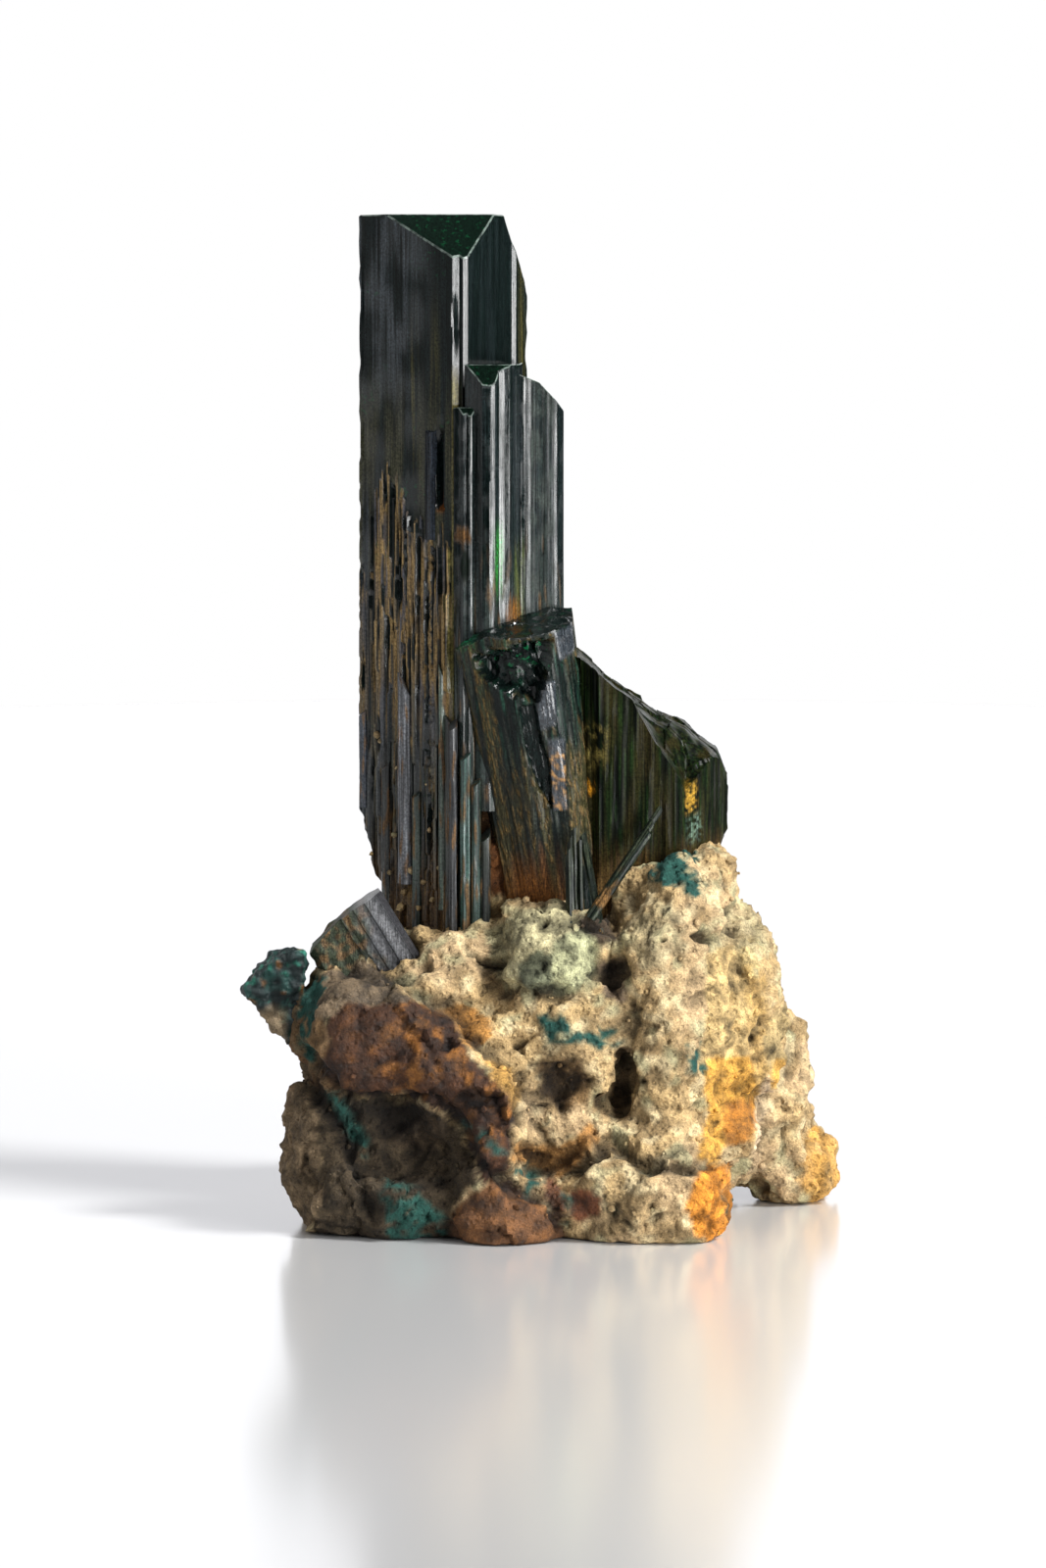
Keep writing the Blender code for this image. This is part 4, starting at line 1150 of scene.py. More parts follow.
# colour regions on the front: outline as (x, height seen by the eye in mm), colour, 1 if smooth
regions = [
    # rust lobe
    (((-10.2, 8.7), (-10.0, 9.5), (-9.0, 10.3), (-7.9, 9.9), (-6.8, 10.1), (-5.9, 9.9),
      (-4.9, 9.6), (-4.0, 9.0), (-3.7, 8.0), (-3.3, 7.1), (-2.1, 6.3), (-1.3, 5.5), (-1.1, 4.5),
      (-1.3, 3.6), (-1.4, 2.9), (-1.4, 1.8), (-2.7, 1.0), (-3.0, 1.4), (-3.1, 2.3), (-3.7, 3.9),
      (-4.6, 4.5), (-5.6, 4.9), (-6.5, 5.5), (-7.9, 5.2), (-9.2, 5.5), (-10.2, 6.3), (-10.5, 7.1)),
     (0.036, 0.013, 0.004), 1),
    # grey-brown cap
    (((-11.0, 10.6), (-10.6, 11.2), (-9.5, 11.8), (-8.4, 12.0), (-7.5, 11.2), (-6.5, 10.3),
      (-5.9, 9.9), (-7.1, 9.8), (-8.4, 9.8), (-9.5, 9.8), (-10.2, 9.1), (-10.8, 9.0), (-11.3, 9.5)),
     (0.12, 0.085, 0.05), 1),
    # lobe's tan rim
    (((-11.3, 9.5), (-10.8, 9.0), (-10.2, 9.1), (-10.2, 7.7), (-10.5, 6.8), (-11.1, 7.1),
      (-11.4, 8.3)),
     (0.2, 0.12, 0.055), 0),
    # orange above the lobe
    (((-4.9, 9.6), (-3.7, 9.8), (-2.5, 9.1), (-2.2, 8.3), (-3.0, 7.6), (-3.7, 8.0), (-4.0, 9.0)),
     (0.36, 0.17, 0.04), 0),
    # orange crescent
    (((-2.7, 7.2), (-1.4, 6.8), (-0.9, 5.5), (-1.1, 4.4), (-1.6, 5.5), (-2.2, 6.3)),
     (0.46, 0.26, 0.07), 0),
    # brown foot
    (((-4.3, -0.1), (-3.0, 0.9), (-1.4, 1.5), (-0.8, 0.7), (0.2, 0.1), (1.1, -0.9), (1.4, -1.5),
      (1.1, -2.4), (-3.7, -2.4), (-4.6, -1.8)),
     (0.1, 0.042, 0.014), 1),
    # wedge
    (((-1.3, 3.1), (1.1, 2.9), (2.5, 4.1), (3.0, 3.4), (2.1, 2.3), (1.1, 1.4), (0.0, 1.7),
      (-1.3, 2.3)),
     (0.3, 0.15, 0.045), 0),
    # shard
    (((0.1, 1.4), (0.6, 1.5), (1.2, 0.9), (1.3, -0.2), (0.9, -0.8), (0.2, 0.6)),
     (0.1, 0.04, 0.018), 1),
    # rust square
    (((1.4, 0.9), (2.4, 1.0), (3.0, 0.4), (2.9, -0.4), (1.9, -0.7), (1.3, -0.1)),
     (0.13, 0.045, 0.018), 1),
    # front block end
    (((7.3, 1.0), (8.1, 2.0), (9.2, 2.0), (9.7, -0.5), (9.0, -2.0), (7.6, -1.3), (7.1, -0.1)),
     (0.45, 0.17, 0.02), 0),
    # column side high
    (((7.9, 12.0), (9.5, 12.8), (10.0, 9.9), (10.2, 7.1), (7.9, 6.8), (7.8, 7.7), (8.1, 9.9)),
     (0.4, 0.28, 0.12), 0),
    # column side low
    (((7.8, 7.1), (10.3, 7.2), (10.6, 4.9), (10.0, 3.9), (8.9, 2.9), (8.7, 2.0), (7.6, 2.3),
      (8.1, 4.9)),
     (0.42, 0.22, 0.04), 0),
    # nub
    (((8.9, 4.9), (10.2, 5.2), (10.6, 4.2), (10.0, 3.1), (9.0, 2.9)),
     (0.3, 0.12, 0.015), 1),
    # green boulder
    (((-2.7, 13.3), (-0.8, 14.4), (1.1, 14.7), (2.1, 13.7), (2.9, 12.5), (2.7, 11.2), (1.9, 10.4),
      (0.0, 10.3), (-1.6, 10.4), (-2.2, 11.5)),
     (0.36, 0.32, 0.18), 0),
    # boulder's green face
    (((0.9, 12.9), (2.1, 13.6), (2.9, 12.5), (2.7, 11.2), (1.9, 10.4), (0.5, 10.3), (0.0, 11.4)),
     (0.3, 0.3, 0.17), 0),
    # boulder's hollow, dark green-grey as painted shade
    (((-1.0, 11.8), (0.0, 12.5), (0.7, 12.0), (0.5, 10.6), (-0.3, 10.4), (-1.0, 10.9)),
     (0.095, 0.1, 0.06), 0),
    # nest
    (((0.0, 7.1), (2.1, 7.2), (2.5, 6.1), (2.2, 5.0), (1.1, 4.5), (0.0, 5.5)),
     (0.11, 0.065, 0.026), 0),
    # recess, dark brown as painted shade
    (((-11.6, 6.4), (-10.2, 5.5), (-7.9, 5.2), (-5.9, 5.0), (-4.3, 4.2), (-3.3, 2.9), (-3.0, 1.4),
      (-4.3, -0.1), (-4.4, -2.4), (-10.6, -2.4), (-11.0, -0.7), (-10.5, 0.7), (-10.6, 2.3),
      (-11.3, 3.9)),
     (0.045, 0.032, 0.018), 0),
    # recess roof, dark brown as painted shade
    (((-7.9, 5.3), (-5.9, 4.9), (-4.4, 4.1), (-4.6, 2.9), (-6.2, 2.6), (-7.6, 3.4)),
     (0.04, 0.027, 0.015), 0),
    # left strip
    (((-11.9, 6.4), (-11.0, 5.2), (-10.6, 2.6), (-10.3, 0.7), (-11.0, -0.9), (-12.7, -1.2),
      (-12.9, 0.7), (-12.5, 3.1), (-12.2, 4.9)),
     (0.15, 0.105, 0.06), 0),
    # pink knob
    (((10.3, 2.0), (10.6, 5.4), (11.0, 6.3), (12.2, 4.5), (12.7, 3.4), (11.6, 2.3), (11.0, 0.3),
      (9.6, 0.6)),
     (0.5, 0.37, 0.23), 0),
    # orange knob end
    (((12.2, 2.6), (12.9, 3.6), (13.8, 3.3), (14.8, 2.3), (14.6, 0.9), (13.2, 0.4), (11.9, 1.0)),
     (0.52, 0.26, 0.04), 0),
    # rear knob
    (((11.1, 9.1), (12.1, 9.9), (12.9, 8.7), (13.0, 7.1), (12.1, 5.5), (11.3, 5.8), (10.8, 7.4)),
     (0.3, 0.22, 0.1), 0),
    # rear knob rust
    (((11.3, 7.1), (12.2, 7.1), (12.4, 5.8), (11.7, 5.5), (11.1, 6.1)),
     (0.42, 0.23, 0.05), 0),
    # dark knob
    (((12.1, 6.8), (13.2, 6.9), (13.3, 5.5), (12.2, 5.2)),
     (0.08, 0.065, 0.04), 0),
    # rusty hollow behind the leaning crystal's foot
    (((-3.4, 20.5), (-0.5, 20.5), (-0.3, 16.0), (-1.5, 15.0), (-3.5, 15.2)),
     (0.085, 0.03, 0.007), 0),
    # pocket in painted shade
    (((1.7, 14.2), (3.5, 14.2), (3.8, 12.8), (3.0, 12.6), (1.9, 13.4)),
     (0.06, 0.042, 0.026), 0),
    # slot, dark as painted shade
    (((3.7, 7.7), (4.4, 7.7), (4.4, 5.0), (3.8, 4.4), (3.6, 6.1)),
     (0.11, 0.075, 0.04), 0),
    # ledge in painted shade
    (((2.8, 12.0), (4.1, 12.0), (4.2, 9.9), (3.0, 10.1)),
     (0.17, 0.12, 0.075), 0),
]

# the same for teal crust
crustPatches = [
    ((-0.2, 9.3), (1.1, 9.5), (2.1, 8.7), (4.0, 8.7), (4.1, 7.9), (2.7, 7.6), (1.7, 8.0), (0.2, 7.7)),
    ((-10.2, 5.6), (-9.4, 5.2), (-8.4, 3.3), (-7.9, 2.3), (-8.4, 2.5), (-9.5, 4.1)),
    ((-7.3, 1.4), (-6.2, 1.0), (-4.6, -0.5), (-4.6, -2.1), (-7.1, -2.1), (-7.5, -0.2)),
    ((-1.4, 1.7), (-0.5, 2.1), (0.2, 1.2), (-0.8, 0.6)),
    ((-3.7, 4.1), (-2.7, 3.7), (-1.5, 2.6), (-1.9, 2.5), (-3.2, 3.4)),
    ((1.1, 0.7), (1.5, 0.6), (1.5, -1.0), (1.1, -0.9)),
    ((8.9, 0.9), (9.4, 0.7), (9.4, -0.5), (9.0, -0.4)),
    ((7.1, 8.0), (7.9, 8.0), (7.9, 6.4), (7.2, 6.4)),
    ((-11.7, 10.3), (-11.0, 9.9), (-11.2, 7.7), (-11.6, 7.7)),
    ((6.5, 16.1), (7.8, 16.2), (7.9, 15.6), (6.5, 15.5)),
]

# stains all round, also where the front regions don't reach: middle, radii, colour, strength
stains = [
    ((9.7, -4.6, 9.0), (1.5, 4.6, 4.8), (0.5, 0.31, 0.09), 0.6),
    ((13.6, 1.4, 1.6), (1.4, 3.4, 1.9), (0.5, 0.25, 0.04), 0.7),
    ((0.9, -7.4, 13.6), (2.6, 3.0, 1.9), (0.34, 0.31, 0.175), 0.6),
    ((5.6, -8.6, 14.6), (1.6, 2.6, 1.6), (0.38, 0.33, 0.19), 0.5),
    ((9.2, -3.0, 13.6), (2.2, 3.6, 2.2), (0.3, 0.28, 0.16), 0.45),
    ((-11.8, -4.6, 4.4), (1.5, 4.0, 4.2), (0.2, 0.14, 0.09), 0.8),
    ((-10.4, -6.6, 9.0), (2.4, 4.0, 3.2), (0.07, 0.028, 0.01), 0.8),
    ((-4.0, 6.5, 7.0), (4.0, 4.0, 3.0), (0.2, 0.11, 0.045), 0.7),
    ((5.0, 7.5, 4.0), (4.5, 4.0, 3.0), (0.4, 0.23, 0.07), 0.6),
]
crusts = [
    ((6.4, -5.6, 17.6), (1.1, 2.2, 0.9)), ((7.3, -6.4, 16.7), (0.6, 1.6, 0.5)),
    ((-10.9, -6.4, 10.6), (0.6, 1.8, 2.2)), ((-1.0, 7.5, 9.0), (1.6, 2.0, 1.2)),
    ((9.0, 5.0, 5.0), (1.0, 2.0, 2.0)),
]
# hollows seen from the front: x, height, half sizes, depth
hollows = [
    (-6.9, 4.2, 2.4, 1.2, 0.5), (2.7, 13.5, 0.9, 0.65, 0.8), (3.6, 11.3, 0.8, 1.0, 0.7),
    (-1.0, 8.0, 0.6, 0.55, 0.7), (8.0, 13.1, 0.8, 0.4, 0.8),
    (1.2, 5.9, 1.2, 1.1, 0.7), (-0.15, 11.5, 0.75, 1.2, 0.25), (10.9, 13.6, 0.4, 0.35, 0.5),
    (-4.4, 7.9, 0.5, 0.3, 0.5), (-8.9, 4.0, 0.5, 1.6, 0.6), (3.2, 4.9, 0.6, 0.7, 0.8),
]
# seams between the lumps: points as (x, height seen), depth
seams = [
    (((-9.4, 11.6), (-7.0, 11.4), (-5.6, 10.2), (-3.8, 9.4), (-2.6, 7.9), (-1.0, 6.5),
      (-0.9, 4.6), (-1.3, 3.6)), 0.55),
    (((-11.2, 7.4), (-9.6, 5.4), (-7.2, 4.9), (-5.2, 5.3), (-4.0, 3.8), (-2.9, 1.8),
      (-1.4, 1.1), (0.4, 0.4), (1.2, -0.9)), 0.7),
    (((4.2, 9.8), (4.2, 6.1), (3.5, 4.2)), 0.3),
    (((-2.6, 10.6), (-0.3, 10.3), (2.3, 10.2), (3.0, 11.4), (1.9, 14.1)), 0.5),
    (((1.1, 1.2), (3.4, 3.4), (4.8, 2.3), (6.0, 1.8), (8.3, 2.1)), 0.6),
    (((9.1, 14.0), (9.5, 11.9), (10.6, 9.3), (10.5, 7.1)), 0.45),
    (((-11.6, 6.6), (-10.4, 4.7), (-9.0, 2.4), (-8.2, -0.4)), 0.5),
    (((-1.3, 3.1), (0.3, 1.9), (1.7, 3.0)), 0.4),
    (((10.6, 5.2), (12.0, 5.4), (13.2, 5.1)), 0.4),
    (((-3.6, 12.6), (-2.4, 11.4), (-2.6, 10.6)), 0.4),
]


def patchShare(place, middle, radii, raggedness=0.3):
    off = Vector(((place.x - middle[0]) / radii[0], (place.y - middle[1]) / radii[1],
                  (place.z - middle[2]) / radii[2]))
    if off.length > 1.6:
        return 0.0
    ragged = raggedness * (grainAt(place, 0.9, 3.0) + 0.6 * grainAt(place, 0.35, 7.0))
    return blendIn(1.08, 0.84, off.length + ragged)


def seenFromFront(place):
    # where the eye of the photograph sees a place: across, and height
    tilt = math.radians(stageLook["elevation"])
    return place.x, place.z * math.cos(tilt) + place.y * math.sin(tilt)


def boxOf(outline):
    across = [point[0] for point in outline]
    heights = [point[1] for point in outline]
    return min(across), max(across), min(heights), max(heights)


def lineDistance(x, y, first, second):
    wayX, wayY = second[0] - first[0], second[1] - first[1]
    share = ((x - first[0]) * wayX + (y - first[1]) * wayY) / (wayX * wayX + wayY * wayY)
    share = min(1.0, max(0.0, share))
    return math.hypot(x - first[0] - wayX * share, y - first[1] - wayY * share)


def insideShare(outline, box, x, y, soft):
    # 1 well inside the outline, 0 well outside, soft across the edge
    if x < box[0] - soft or x > box[1] + soft or y < box[2] - soft or y > box[3] + soft:
        return 0.0
    inside = False
    near = soft
    for first, second in zip(outline, outline[1:] + outline[:1]):
        near = min(near, lineDistance(x, y, first, second))
        if (first[1] > y) != (second[1] > y):
            if x < first[0] + (second[0] - first[0]) * (y - first[1]) / (second[1] - first[1]):
                inside = not inside
    return blendIn(-soft, soft, near if inside else -near)


regionBoxes = [boxOf(region[0]) for region in regions]
crustBoxes = [boxOf(patch) for patch in crustPatches]
seamBoxes = [boxOf(line) for line, _ in seams]


def jittered(place):
    across, height = seenFromFront(place)
    shift = 0.22 * grainAt(place, 0.9, 3.0) + 0.12 * grainAt(place, 0.3, 7.0)
    lift = 0.22 * grainAt(place, 0.9, 13.0) + 0.12 * grainAt(place, 0.3, 17.0)
    return across + shift, height + lift


def onFront(place):
    return blendIn(-1.5, -3.0, place.y + 0.25 * abs(place.x) - 0.8 * (place.x > 9.0) * 4.0)


def rockSmoothness(place):
    across, height = jittered(place)
    share = 0.0
    for (outline, _, smooth), box in zip(regions, regionBoxes):
        if smooth:
            share = max(share, insideShare(outline, box, across, height, 0.3))
    return share * onFront(place)


def seamDepth(across, height):
    depth = 0.0
    for (line, deep), box in zip(seams, seamBoxes):
        if box[0] - 0.7 < across < box[1] + 0.7 and box[2] - 0.7 < height < box[3] + 0.7:
            near = min(lineDistance(across, height, *ends) for ends in zip(line, line[1:]))
            depth = max(depth, deep * blendIn(0.62, 0.08, near))
    for middle, level, wide, tall, deep in hollows:
        reach = math.hypot((across - middle) / wide, (height - level) / tall)
        if reach > 1.9:
            continue
        reach += 0.5 * noise.noise(Vector((across * 1.3, height * 1.3, 2.0)))
        depth = max(depth, deep * blendIn(1.15, 0.35, reach))
    return depth


def rockRelief(place):
    smooth = rockSmoothness(place)
    across, height = jittered(place)
    column = blendIn(4.0, 5.0, place.x)
    broad = 0.36 * noise.fractal(place / 2.8, 0.9, 2.1, 3)
    lumps = (0.2 + 0.1 * column) * noise.fractal(place / 1.05 + Vector((5, 1, 2)), 0.7, 2.0, 3)
    cells, _ = noise.voronoi(place / 0.95 + Vector((2, 7, 4)))
    knobs = (0.08 + 0.08 * column) * (0.5 - cells[0])
    holes, _ = noise.voronoi(place / 1.1 + Vector((9, 3, 1)))
    pit = blendIn(0.26, 0.12, holes[0]) * blendIn(0.08, 0.3, grainAt(place, 1.9, 9.0))
    small, _ = noise.voronoi(place / 0.46 + Vector((1, 5, 8)))
    pocks = 0.15 * blendIn(0.3, 0.12, small[0]) * blendIn(-0.2, 0.4, grainAt(place, 1.3, 5.0))
    cracks = blendIn(0.035, 0.0, abs(grainAt(place, 3.4, 14.0)))
    fine = 0.08 * noise.noise(place / 0.36) + 0.03 * noise.noise(place / 0.2)
    rough = 1.0 - 0.7 * smooth
    relief = broad * (1.0 - 0.4 * smooth) + fine
    relief += rough * (lumps + knobs - pocks - 0.2 * cracks - 0.35 * pit)
    relief += (0.8 - 0.4 * column) * flatBreaks(place, 2.4, 0.4)
    front = onFront(place)
    crust = 0.0
    if front > 0.0:
        for outline, box in zip(crustPatches, crustBoxes):
            crust = max(crust, front * insideShare(outline, box, across, height, 0.2))
    relief += 0.16 * crust * (1.0 - 1.4 * small[0])
    return relief - seamDepth(across, height) * front


def flatBreaks(place, size, tilt):
    # each cell of the rock breaks off along a plane of its own
    _, middles = noise.voronoi(place / size + Vector((3, 8, 6)))
    lean = noise.noise_vector(middles[0] * 7.3)
    return tilt * size * lean.dot(place / size + Vector((3, 8, 6)) - middles[0])


def rockTone(relief):
    def tone(place, normal):
        warm = grainAt(place, 3.4, 1.0)
        colour = mixed(tan, (0.41, 0.29, 0.155), blendIn(-0.3, 0.3, warm))
        colour = mixed(colour, (0.22, 0.15, 0.07), blendIn(0.0, 0.5, grainAt(place, 1.6, 4.0)))
        colour = mixed(colour, (0.52, 0.41, 0.23), blendIn(0.05, 0.5, grainAt(place, 0.8, 8.0)))
        colour = mixed(colour, (0.3, 0.3, 0.17), 0.6 * blendIn(0.2, 0.5, grainAt(place, 1.1, 21.0)))
        rough, porous = 0.92, 1.0
        uneven = 0.95 + 0.9 * grainAt(place, 0.8, 6.0) + 0.5 * grainAt(place, 0.3, 2.0)
        glow = blendIn(-0.05, 0.5, grainAt(place, 0.8, 12.0) + 0.4 * grainAt(place, 0.25, 15.0))
        for middle, radii, stain, strength in stains:
            share = patchShare(place, middle, radii) * strength
            if share > 0.0:
                colour = mixed(colour, tuple(part * max(0.2, uneven) for part in stain), share)
        front = onFront(place)
        if front > 0.0:
            across, height = jittered(place)
            for (outline, stain, smooth), box in zip(regions, regionBoxes):
                share = front * insideShare(outline, box, across, height, 0.16)
                if share > 0.0:
                    # orange rust patches on the dark smooth regions, more of them to the right, there also
                    # painted highlight on the lit side
                    if smooth and stain[0] < 0.12:
                        right = blendIn(-9.5, -5.5, across) * blendIn(-1.0, 3.0, height)
                        stain = mixed(stain, (0.22, 0.085, 0.014), (0.15 + 0.55 * right) * glow)
                    rough = rough - 0.22 * share * smooth
                    porous = porous - 0.45 * share * smooth
                    colour = mixed(colour, tuple(part * max(0.2, uneven) for part in stain), share)
        # painted shade: the colour darkens where the relief sinks in
        recessShade = blendIn(-0.05, -0.6, relief.get(tuple(round(v, 4) for v in place), 0.0))
        colour = mixed(colour, tuple(part * 0.22 for part in colour), recessShade)
        if front > 0.0:
            ragged = 0.25 * grainAt(place, 0.5, 30.0)
            for outline, box in zip(crustPatches, crustBoxes):
                share = front * insideShare(outline, box, across + ragged, height - ragged, 0.2)
                patchy = blendIn(-0.35, 0.1, grainAt(place, 0.6, 33.0))
                colour = mixed(colour, teal, share * patchy)
        for middle, radii in crusts:
            share = patchShare(place, middle, radii, 0.75)
            colour = mixed(colour, teal, share)
        return colour, rough, porous, 0.0, 1.0

    return tone


# sand stuck to the foot of the tall crystal: along its left face, z, size
stuckGrains = [
    (1.3, 23.1, 0.2), (1.5, 22.8, 0.13), (3.6, 16.7, 0.24), (3.9, 17.4, 0.12), (2.4, 18.3, 0.16),
    (3.1, 15.6, 0.2), (2.1, 16.4, 0.14), (4.4, 16.2, 0.15), (1.7, 19.6, 0.1), (4.8, 18.8, 0.13),
    (3.4, 20.2, 0.11), (2.9, 14.8, 0.25), (4.1, 14.9, 0.2), (5.0, 15.4, 0.17), (1.8, 15.0, 0.16),
    (0.9, 17.2, 0.12), (2.6, 21.6, 0.1), (5.4, 17.0, 0.12), (4.6, 21.0, 0.09), (3.8, 24.8, 0.09),
]


def scatterGrains(bm):
    # loose angular grains over the rock, and a few on the foot of the tall crystal
    ball = bmesh.new()
    bmesh.ops.create_icosphere(ball, subdivisions=1, radius=1.0)
    corners = [vert.co.copy() for vert in ball.verts]
    sides = [[vert.index for vert in face.verts] for face in ball.faces]
    ball.free()
    bm.normal_update()
    spots = []
    dice = random.Random(41)
    for vert in bm.verts:
        if dice.random() < 0.008 and vert.co.z > 0.6:
            size = 0.07 + 0.16 * dice.random() ** 3
            spots.append((vert.co + vert.normal * 0.25 * size, size))
    face, way = tallCrystal["faceStart"], tallCrystal["faceWay"]
    for along, z, size in stuckGrains:
        spot = face + way * along
        spots.append((Vector((spot.x - 0.08, spot.y - 0.08, z)), size))
    for middle, size in spots:
        made = [bm.verts.new(middle + corner * size * (0.72 + 0.5 * dice.random()))
                for corner in corners]
        for side in sides:
            bm.faces.new([made[index] for index in side])
    print("grains", len(spots))


def buildRock():
    bm = nodeInMillimetres("matrix")
    for middle, radii in rockBody["fills"]:
        addBall(bm, middle, radii)
    bm = remeshed(bm, rockBody["voxel"])
    for _ in range(rockBody["smoothing"]):
        bmesh.ops.smooth_vert(bm, verts=bm.verts, factor=0.5, use_axis_x=True, use_axis_y=True,
                              use_axis_z=True)
    bm.normal_update()
    relief = {}
    moves = []
    for vert in bm.verts:
        push = rockRelief(vert.co)
        foot = blendIn(0.0, 0.5, vert.co.z)
        moves.append((vert, vert.normal * push * (0.25 + 0.75 * foot), push))
    for vert, move, push in moves:
        vert.co += move
        vert.co.z = max(0.0, vert.co.z)
        relief[tuple(round(v, 4) for v in vert.co)] = push
    scatterGrains(bm)
    for face in bm.faces:
        face.smooth = True
    paint(bm, rockTone(relief))
    return finishPiece("matrix_rock", bm, [rockMaterial("sandy_rock")], "matrix",
                       sharpAngle=60)


# the crust at the left

def buildWing():
    bm = nodeInMillimetres("green_wing")
    bm = remeshed(bm, 0.1)
    for _ in range(6):
        bmesh.ops.smooth_vert(bm, verts=bm.verts, factor=0.5, use_axis_x=True, use_axis_y=True,
                              use_axis_z=True)
    bm.normal_update()
    moves = []
    for vert in bm.verts:
        cells, _ = noise.voronoi(vert.co / 0.55)
        push = 0.3 * noise.fractal(vert.co / 0.9, 0.8, 2.0, 3) + 0.18 * (0.5 - cells[0])
        moves.append((vert, vert.normal * push))
    for vert, move in moves:
        vert.co += move
    for face in bm.faces:
        face.smooth = True

    def tone(place, normal):
        share = blendIn(-0.1, 0.4, grainAt(place, 0.6, 2.0))
        colour = mixed((0.006, 0.014, 0.014), (0.012, 0.05, 0.042), share)
        colour = mixed(colour, (0.02, 0.13, 0.09), blendIn(0.3, 0.5, grainAt(place, 0.4, 5.0)))
        colour = mixed(colour, (0.1, 0.045, 0.012), blendIn(0.35, 0.55, grainAt(place, 0.7, 8.0)))
        low = blendIn(10.9, 10.2, place.z + 0.5 * grainAt(place, 0.6)) * blendIn(-12.0, -12.6, place.x)
        colour = mixed(colour, (0.27, 0.2, 0.12), 0.9 * low)
        return colour, 0.45 + 0.35 * low, 0.6, 0.0, 1.0

    paint(bm, tone)
    return finishPiece("green_wing_crust", bm, [rockMaterial("green_crust", 0.06, 0.8)],
                       "green_wing", sharpAngle=60)


# floor, lights and camera

stageLook = {
    "elevation": 9.0,          # degrees the camera looks down
    "pixelsPerMm": 21.0,
    "photoWidth": 1067, "photoHeight": 1600,
    "originPixel": (550.0, 1228.6),     # where the origin is in the photograph
    "lens": 600.0, "sensor": 36.0,
}


def buildCamera():
    cfg = stageLook
    camera = bpy.data.cameras.new("photo_camera")
    camera.lens = cfg["lens"]
    camera.sensor_width = cfg["sensor"]
    viewer = bpy.data.objects.new("photo_camera", camera)
    bpy.context.scene.collection.objects.link(viewer)
    tilt = math.radians(cfg["elevation"])
    back = Vector((0.0, -math.cos(tilt), math.sin(tilt)))
    up = Vector((0.0, math.sin(tilt), math.cos(tilt)))
    right = Vector((1.0, 0.0, 0.0))
    across = (cfg["photoWidth"] / 2 - cfg["originPixel"][0]) / cfg["pixelsPerMm"] * mm
    above = (cfg["originPixel"][1] - cfg["photoHeight"] / 2) / cfg["pixelsPerMm"] * mm
    frameHeight = cfg["photoHeight"] / cfg["pixelsPerMm"] * mm
    distance = frameHeight * cfg["lens"] / cfg["sensor"]
    viewer.location = right * across + up * above + back * distance
    viewer.rotation_mode = "QUATERNION"
    viewer.rotation_quaternion = (-back).to_track_quat("-Z", "Y")
    camera.clip_start = 0.01
    camera.clip_end = 10.0
    bpy.context.scene.camera = viewer
    return viewer


def buildFloor():
    bm = bmesh.new()
    bmesh.ops.create_circle(bm, cap_ends=True, segments=128, radius=0.16)
    mesh = bpy.data.meshes.new("floor")
    bm.to_mesh(mesh)
    bm.free()
    material = bpy.data.materials.new("pale_floor")
    material.use_nodes = True
    shader = material.node_tree.nodes["Principled BSDF"]
    shader.inputs["Base Color"].default_value = (0.56, 0.56, 0.56, 1.0)
    shader.inputs["Roughness"].default_value = 0.35
    shader.inputs["Coat Weight"].default_value = 1.0
    shader.inputs["Coat IOR"].default_value = 2.8
    shader.inputs["Coat Roughness"].default_value = 0.16
    mesh.materials.append(material)
    floor = bpy.data.objects.new("floor", mesh)
    floor.location = (0.0, 0.0, -0.02 * mm)
    bpy.context.scene.collection.objects.link(floor)
    return floor


lamps = {
    # azimuth 0 is the camera's side and right is positive; sizes in mm, radiance of the panel
    "right_strip": dict(azimuth=41, low=0, distance=130, width=34, height=75, radiance=24.0),
    "right_fill": dict(azimuth=60, low=0, distance=140, width=40, height=70, radiance=1.6),
    "left_sheen": dict(azimuth=-86, low=2, distance=130, width=70, height=34, radiance=0.6),
    "back_right": dict(azimuth=152, low=60, distance=300, width=120, height=200, radiance=1.1),
    "back_left": dict(azimuth=-140, low=60, distance=300, width=160, height=200, radiance=1.1),
}


# name, energy, spread, height and azimuth in degrees
suns = [("key", 5.0, 13, 54, 68), ("fill", 0.6, 50, 35, -50)]


def buildLights():
    for name, cfg in lamps.items():
        light = bpy.data.lights.new(name, "AREA")
        light.shape = "RECTANGLE"
        light.size = cfg["width"] * mm
        light.size_y = cfg["height"] * mm
        light.energy = cfg["radiance"] * math.pi * light.size * light.size_y
        lamp = bpy.data.objects.new(name, light)
        bpy.context.scene.collection.objects.link(lamp)
        turn = math.radians(cfg["azimuth"])
        place = Vector((math.sin(turn), -math.cos(turn), 0.0)) * cfg["distance"]
        lamp.location = (place + Vector((0, 0, cfg["low"] + cfg["height"] / 2))) * mm
        aim = Vector((0, 0, lamp.location.z)) - Vector(lamp.location)
        lamp.rotation_mode = "QUATERNION"
        lamp.rotation_quaternion = aim.to_track_quat("-Z", "Y")
        lamp.visible_camera = False
    for name, energy, spread, height, azimuth in suns:
        sun = bpy.data.lights.new(name, "SUN")
        sun.energy = energy
        sun.angle = math.radians(spread)
        shine = bpy.data.objects.new(name, sun)
        bpy.context.scene.collection.objects.link(shine)
        shine.rotation_euler = (math.radians(90 - height), 0.0, math.radians(azimuth))
    buildWorld()


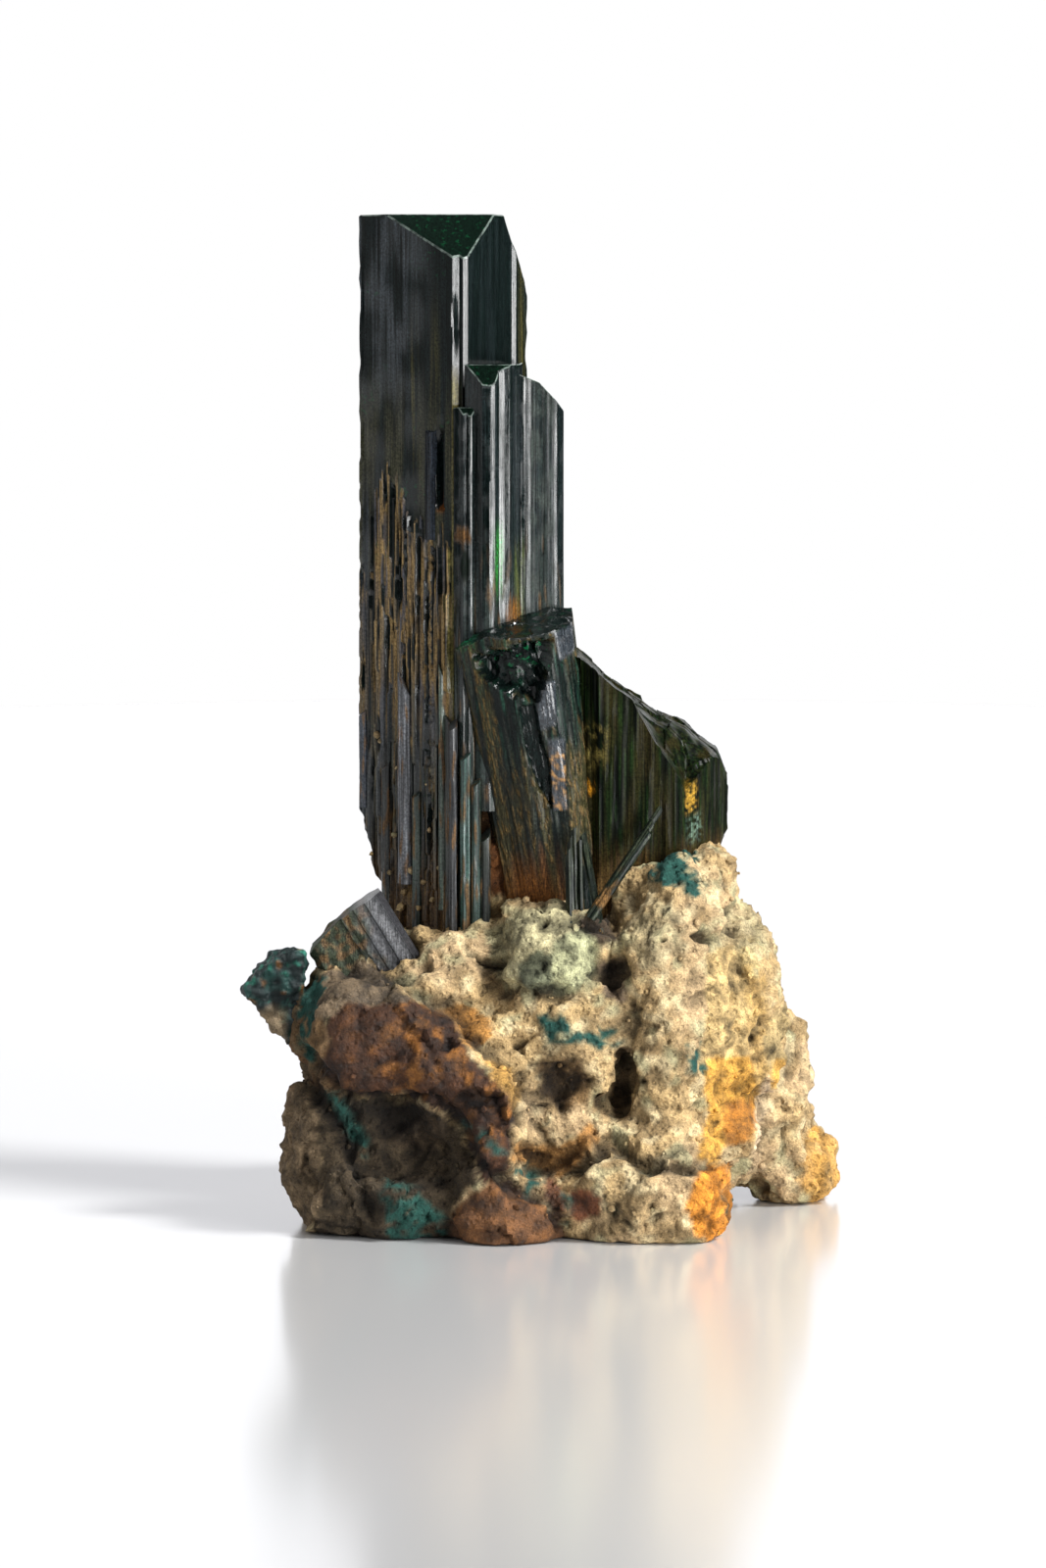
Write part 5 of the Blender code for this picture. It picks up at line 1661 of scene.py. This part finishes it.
def buildWorld():
    # white to the eye; in reflections a pale band just above the floor and dim elsewhere
    world = bpy.data.worlds.new("studio")
    world.use_nodes = True
    make, link = nodeMaker(world)
    spread = world.node_tree.nodes["Background"]
    spread.inputs["Color"].default_value = (0.14, 0.147, 0.16, 1.0)
    white = make("ShaderNodeBackground")
    white.inputs["Color"].default_value = (1.0, 1.0, 1.0, 1.0)
    mirrored = make("ShaderNodeBackground")
    place = make("ShaderNodeTexCoord")
    upward = make("ShaderNodeSeparateXYZ")
    link(place, "Generated", upward, "Vector")
    band = make("ShaderNodeValToRGB")
    ramp = band.color_ramp
    ramp.elements[0].position = 0.49
    ramp.elements[0].color = (0.015, 0.017, 0.02, 1.0)
    ramp.elements[1].position = 0.52
    ramp.elements[1].color = (1.5, 1.5, 1.5, 1.0)
    for position, level in ((0.6, 1.1), (0.7, 0.12), (1.0, 0.1)):
        ramp.elements.new(position).color = (level, level, level * 1.05, 1.0)
    height = make("ShaderNodeMapRange", From_Min=-1.0, From_Max=1.0, To_Min=0.0, To_Max=1.0)
    link(upward, "Z", height, "Value")
    link(height, "Result", band, "Fac")
    link(band, "Color", mirrored, "Color")
    path = make("ShaderNodeLightPath")
    glossy = make("ShaderNodeMixShader")
    link(path, "Is Glossy Ray", glossy, "Fac")
    link(spread, "Background", glossy, 1)
    link(mirrored, "Background", glossy, 2)
    seen = make("ShaderNodeMixShader")
    link(path, "Is Camera Ray", seen, "Fac")
    link(glossy, "Shader", seen, 1)
    link(white, "Background", seen, 2)
    link(seen, "Shader", world.node_tree.nodes["World Output"], "Surface")
    bpy.context.scene.world = world


buildCamera()
buildFloor()
buildLights()
print("stage ready")
buildTallCrystal()
for crystalName, crystalSizes in sideCrystals.items():
    buildSideCrystal(crystalName, crystalSizes)
buildBroken("leaning_crystal", leaningCrystal, leaningTop, leaningRelief, leaningTone)
buildBroken("broken_block", brokenBlock, blockTop, blockRelief, blockTone)
buildLaths()
buildSlab()
for bladeName, bladeSizes in blades.items():
    buildBlade(bladeName, bladeSizes)
buildWing()
buildRock()

bpy.context.scene.view_settings.view_transform = "Standard"
